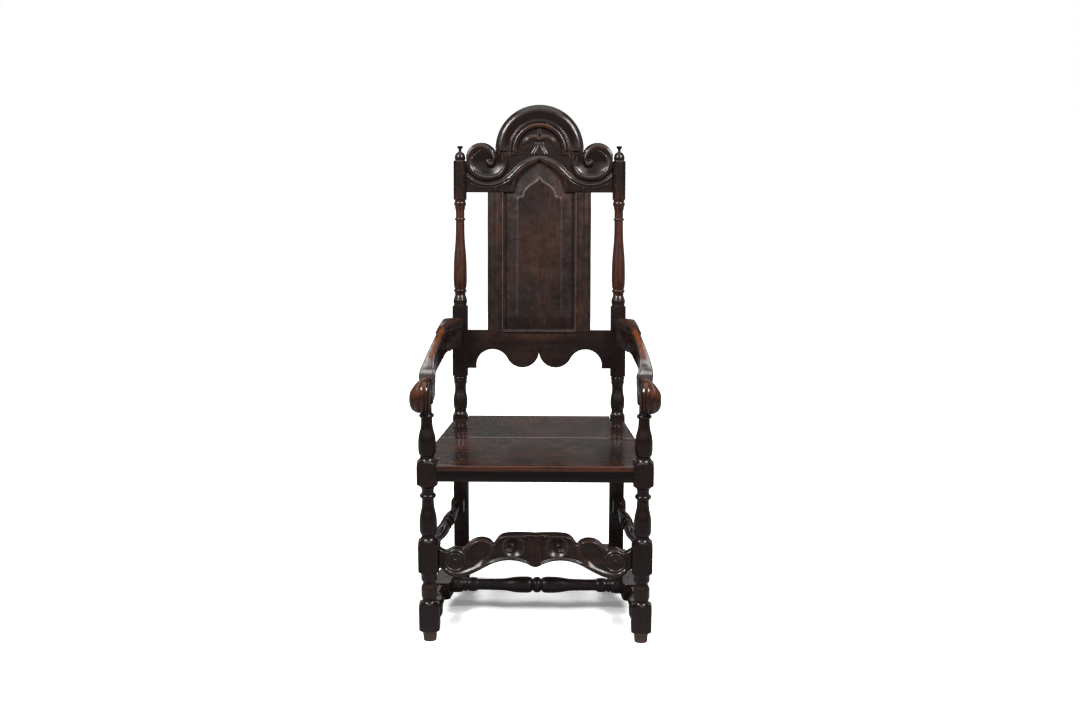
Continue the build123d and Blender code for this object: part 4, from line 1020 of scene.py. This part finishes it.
ARM_STATIONS = np.array([
    # depth behind the front posts, top, underside, inner top, outer top, inner foot, outer foot
    (-12, 640.0, 575, 236, 262, 238, 258),
    (10, 638.5, 578, 234, 267, 236, 262),
    (30, 637.0, 581, 233, 271, 235, 266),
    (50, 637.5, 586, 233, 273, 235, 268),
    (75, 640.0, 591, 236.5, 274, 238, 269),
    (100, 643.5, 594, 240, 273.5, 242, 268),
    (150, 650.0, 598, 244, 271, 246, 265),
    (200, 657.0, 601, 245, 268, 247, 262),
    (250, 665.0, 604, 243, 264, 245.5, 259),
    (290, 673.0, 608, 239.5, 260, 242.5, 255),
    (330, 683.0, 614.5, 233.5, 256, 238, 251),
    (355, 690.0, 621, 228, 252, 233.5, 247.5),
    (378, 696.0, 630, 211, 248, 219, 243.5),
    (396, 701.0, 638, 195.5, 243, 199, 240),
    (412, 705.0, 641, 191, 237, 194, 234),
])
ARM_END = 398.5
ARM_SECTIONS = 200
CORNER_RADII = (2.5, 5.0, 6.0, 5.0)
SIDE_STEPS = (22, 8, 8, 38)             # along a section's top, outer side, underside and inner side
RIGHT_BOW = 2.5                         # the right arm bows out further than the left
SCROLL_AHEAD, SCROLL_HEIGHT = 11.5, 602.0


def eased_stations():
    """Arm sections at even depths, smoothed between the listed ones."""
    path = curve(ARM_STATIONS, steps=12)
    depths = np.linspace(ARM_STATIONS[0, 0], ARM_END, ARM_SECTIONS)
    return [np.array([d] + [np.interp(d, path[:, 0], path[:, k]) for k in range(1, 7)]) for d in depths]


def dip(distance, middle, half):
    """Depth share of a small round groove."""
    return max(0.0, 1 - ((distance - middle) / half) ** 2)


def section(row, side):
    """One section through the arm, as points round it with how worn each is."""
    depth, top, foot, inner, outer, inner_foot, outer_foot = row
    corners = np.array([(inner, top), (outer, top), (outer_foot, foot), (inner_foot, foot)])
    handled = ease(depth, 110, 200) * (1 - 0.5 * ease(depth, 345, 365))
    points, wear = [], []
    for k in range(4):
        corner, after, before = corners[k], corners[(k + 1) % 4], corners[k - 1]
        into = (corner - before) / np.hypot(*(corner - before))
        out = (after - corner) / np.hypot(*(after - corner))
        start, end = corner - into * CORNER_RADII[k], corner + out * CORNER_RADII[k]
        for t in np.linspace(0, 1, 7)[:-1]:
            points.append((1 - t) ** 2 * start + 2 * t * (1 - t) * corner + t * t * end)
            wear.append(0.05 + 0.10 * handled if k < 2 else 0.03)
        far = after - out * CORNER_RADII[(k + 1) % 4]
        length = np.hypot(*(far - end))
        away = np.array((-out[1], out[0]))
        fine = {0: np.linspace(0, 7, 15), 3: length - np.linspace(20, 0, 31)}.get(k, [])
        steps = sorted(set(np.round(np.concatenate([np.linspace(0, length, 9), fine]), 3)))
        steps = np.interp(np.linspace(0, len(steps) - 1, SIDE_STEPS[k] + 1), range(len(steps)), steps)[:-1]
        for step in steps:
            push = 0.0
            if k == 0:
                push = 1.2 * sin(pi * step / length) - 1.0 * dip(step, 3.4, 1.3)
            if k == 3:
                from_top = length - step
                push = -1.3 * dip(from_top, 1.5, 1.6) - 1.5 * dip(from_top, 7.5, 2.2)
                push -= 0.9 * dip(from_top, 12.5, 1.6)
            points.append(end + out * step + away * push)
            wear.append(0.08 + 0.75 * handled * min(1, 2.2 * sin(pi * step / length)) if k == 0 else 0.03)
    points = np.array(points)
    out_of_middle = points - points.mean(0)
    out_of_middle /= np.hypot(*out_of_middle.T)[:, None]
    swell = [0.5 * noise.noise(Vector((depth / 45, q[0] / 24, q[1] / 24 + side * 7))) for q in points]
    leaf = leaf_edge(depth, points, row)
    swell = np.array(swell) + 3.2 * leaf
    return points + out_of_middle * swell[:, None], np.array(wear) * (1 - 0.75 * leaf)


def leaf_edge(depth, points, row):
    """1 where the carved leaf wraps the root of the arm, 0 in front of its pointed lobes."""
    _, top, _, inner, outer, _, _ = row
    over = np.clip((points[:, 0] - inner) / (outer - inner), 0, 1)
    down = np.clip((top - points[:, 1] - 5) / 40, 0, 1)
    start = 348 - 24 * np.abs(np.cos(pi * (over + down))) + 34 * down
    return ease(depth - start, 0, 4)


KNUCKLE_PROFILE = [
    (-17.5, 0.5), (-17.5, 6), (-16.8, 11), (-14, 14.2), (-12.6, 16.5), (-12.6, 24), (-11.6, 31),
    (-8.5, 36), (-4, 38.6), (3, 40), (10, 39.4), (17, 36.8), (24, 32.6), (30, 26.5), (34.8, 19.5),
    (37.1, 12.5), (37.5, 6), (37.5, 0.5),
]


def knuckle(side):
    """The domed, fluted end of the scroll, as rings of points from its inner to its outer pole."""
    profile = curve(KNUCKLE_PROFILE, steps=5)
    turns = np.linspace(0, 2 * pi, 161)[:-1]
    points, wear = [], []
    for across, radius in profile:
        drop = 10.0 * ease(across, 0, 34) + 8.0 * ease(-across, 12.0, 14.5)
        face = ease(across, -11.5, -7) * fade(across, 24, 31)
        width = 4.6 + 0.13 * (across + 12)
        flute = abs(sin(pi * (across + 12) / width))
        for turn in turns:
            ahead, up = cos(turn), sin(turn)
            front = ease(ahead, 0.15, 0.5) * fade(up, 0.3, 0.5 + 0.008 * across)
            front *= fade(up, 0.35 - 0.012 * (across - 25), 0.62 - 0.012 * (across - 25))
            brow = ease(up, 0.2, 0.5) * ease(across, -8, 6)
            r = radius - 3.2 * face * front * (1 - flute) ** 1.4
            r += 0.5 * noise.noise(Vector((across / 16, turn * 2, side * 3)))
            points.append((front_x / MM + across, -SCROLL_AHEAD - r * ahead, SCROLL_HEIGHT - drop + r * up))
            wear.append(0.08 + 0.34 * brow * fade(across, 26, 36) + 0.05 * face * front * flute)
    return points, wear, len(turns)


def carved_arm(side, name):
    """An arm: a swept body that drops from the rear post, and the knuckle it ends in."""
    points, wear = [], []
    for station in eased_stations():
        depth = station[0]
        row, worn = section(station, side)
        bow = RIGHT_BOW * (side > 0) * sin(pi * np.clip((depth - 20) / 330, 0, 1))
        lean = ease(depth, 340, ARM_END) * sin(rake)
        points += [(x + bow, depth + lean * (z - 667), z) for x, z in row]
        wear += list(worn)
    body = len(points)
    ball, ball_wear, ring = knuckle(side)
    faces = tube_faces(0, ARM_SECTIONS, body // ARM_SECTIONS) + tube_faces(body, len(ball) // ring, ring)
    places = [Vector((side * x * MM, front_y + y * MM, z * MM)) for x, y, z in points + ball]
    piece = mesh_piece(name, places, faces)
    mark_points(piece, "rub", wear + ball_wear)
    normals_out(piece)
    smooth_shading(piece, 50)
    return piece


for label, side in (("left", -1), ("right", 1)):
    finish_piece(carved_arm(side, f"arm_{label}_carved"), ARM_CARVED_OAK, "dark_oak", f"arm_{label}")

# ---------------- floor, light and camera

bpy.ops.object.select_all(action="DESELECT")


def white_for_the_eye(name, lit, glow):
    """A floor that shows white to the eye; its glow, set by place, paints light over the cast shadows
    everywhere but close under the chair.
    """
    material = bpy.data.materials.new(name)
    material.use_nodes = True
    tree = material.node_tree
    sheet = Sheet(tree)
    tree.nodes.remove(tree.nodes["Principled BSDF"])
    rays = sheet.add("ShaderNodeLightPath")
    x, y, _ = sheet.split(sheet.add("ShaderNodeTexCoord").outputs["Object"])
    sideways = sheet.math("ABSOLUTE", x)
    # Painted light: the glow washes out the cast shadows away from under the chair and between the front
    # feet.
    clear = sheet.math("MAXIMUM", sheet.ramp(sideways, 0.30, 0.50), sheet.ramp(y, 0.12, 0.23))
    between_feet = sheet.ramp(sideways, 0.12, 0.20, 1.0, 0.5)
    between_feet = sheet.times(between_feet, sheet.ramp(y, -0.09, -0.02, 1.0, 0.0))
    clear = sheet.math("MAXIMUM", clear, between_feet)
    # Painted reflection: in reflections the floor shows darker ahead of the chair.
    in_front = sheet.ramp(y, -0.9, -0.2, 0.13, 0.28)
    plain = sheet.mix(rays.outputs["Is Glossy Ray"], (0.6, 0.6, 0.6, 1), in_front)
    paper = sheet.add("ShaderNodeBsdfDiffuse")
    sheet.feed(paper.inputs["Color"], sheet.mix(rays.outputs["Is Camera Ray"], plain, (lit, lit, lit, 1)))
    seen = sheet.math("ADD", rays.outputs["Is Camera Ray"], rays.outputs["Is Transmission Ray"], clamp=True)
    glowing = sheet.add("ShaderNodeEmission")
    level = sheet.times(sheet.ramp(clear, 0, 1, glow, 1.0), seen)
    # Painted reflection: the floor glows a little in reflections behind the chair.
    behind = sheet.times(sheet.ramp(y, 0.1, 0.9, 0.0, 0.09), rays.outputs["Is Glossy Ray"])
    sheet.feed(glowing.inputs["Strength"], sheet.math("ADD", level, behind))
    both = sheet.add("ShaderNodeAddShader")
    sheet.feed_all(both, (0, 1), (paper.outputs[0], glowing.outputs[0]))
    output = next(n for n in tree.nodes if n.type == "OUTPUT_MATERIAL")
    sheet.feed(output.inputs["Surface"], both.outputs[0])
    return material


bpy.ops.mesh.primitive_plane_add(size=40, location=(0, 0, 0))
floor = bpy.context.active_object
floor.name = "floor"
dress(floor, white_for_the_eye("white floor", 1.35, 0.16))


CHAIR_MIDDLE = Vector((0, 0, 0.65))


def soft_box(name, around, above, distance, size, power):
    """An area lamp that faces the chair, at one angle round it from the front and one above the level."""
    turn, lift = radians(around), radians(above)
    away = Vector((sin(turn) * cos(lift), -cos(turn) * cos(lift), sin(lift))) * distance
    place = CHAIR_MIDDLE + away
    bpy.ops.object.light_add(type="AREA", location=place)
    lamp = bpy.context.active_object
    lamp.name = name
    lamp.data.shape = "RECTANGLE"
    lamp.data.size, lamp.data.size_y = size
    lamp.data.energy = power
    lamp.rotation_euler = (CHAIR_MIDDLE - place).to_track_quat("-Z", "Y").to_euler()


soft_box("left key", -48, 40, 3.2, (0.75, 0.95), 82)
soft_box("right key", 48, 40, 3.2, (0.75, 0.95), 76)
soft_box("overhead", 0, 84, 2.9, (2.6, 2.6), 34)

world = bpy.data.worlds.new("studio")
bpy.context.scene.world = world
world.use_nodes = True
sky = Sheet(world.node_tree)
background = world.node_tree.nodes["Background"]
rays = sky.add("ShaderNodeLightPath")
_, back, up = sky.split(sky.add("ShaderNodeTexCoord").outputs["Generated"])
behind = sky.ramp(back, -0.15, 0.35)
high_up = sky.ramp(up, 0.3, 0.75, 1.0, 0.3)
in_front = sky.ramp(up, -0.02, 0.28, 0.04, 0.38)
paper_behind = sky.ramp(up, 0.34, 0.40, 0.16, 3.4)
paper_behind = sky.times(paper_behind, sky.ramp(up, 0.42, 0.47, 1.0, 0.06))
mirrored_sky = sky.times(sky.mix(behind, in_front, paper_behind), high_up)
soft_sky = sky.times(rays.outputs["Is Diffuse Ray"], 0.16)
seen = sky.math("ADD", rays.outputs["Is Camera Ray"], rays.outputs["Is Transmission Ray"], clamp=True)
glossy = sky.times(mirrored_sky, rays.outputs["Is Glossy Ray"])
sky.feed(background.inputs["Strength"], sky.math("ADD", sky.math("ADD", seen, glossy), soft_sky))
background.inputs["Color"].default_value = (1, 1, 1, 1)

CAMERA_DISTANCE = 3.30      # ahead of the front posts' axes
CAMERA_HEIGHT = 1.39
CAMERA_DOWN = radians(12.1)
CAMERA_AROUND = radians(1.2)
camera_data = bpy.data.cameras.new("camera")
camera = bpy.data.objects.new("camera", camera_data)
bpy.context.scene.collection.objects.link(camera)
bpy.context.scene.camera = camera
camera_data.lens = 49.2
camera_data.sensor_width = 36
camera_data.shift_x = 2.6 / 1080
reach = CAMERA_DISTANCE - front_y
camera.location = (reach * sin(CAMERA_AROUND), -reach * cos(CAMERA_AROUND), CAMERA_HEIGHT)
camera.rotation_euler = (pi / 2 - CAMERA_DOWN, 0, CAMERA_AROUND)

bpy.context.scene.view_settings.view_transform = "Standard"
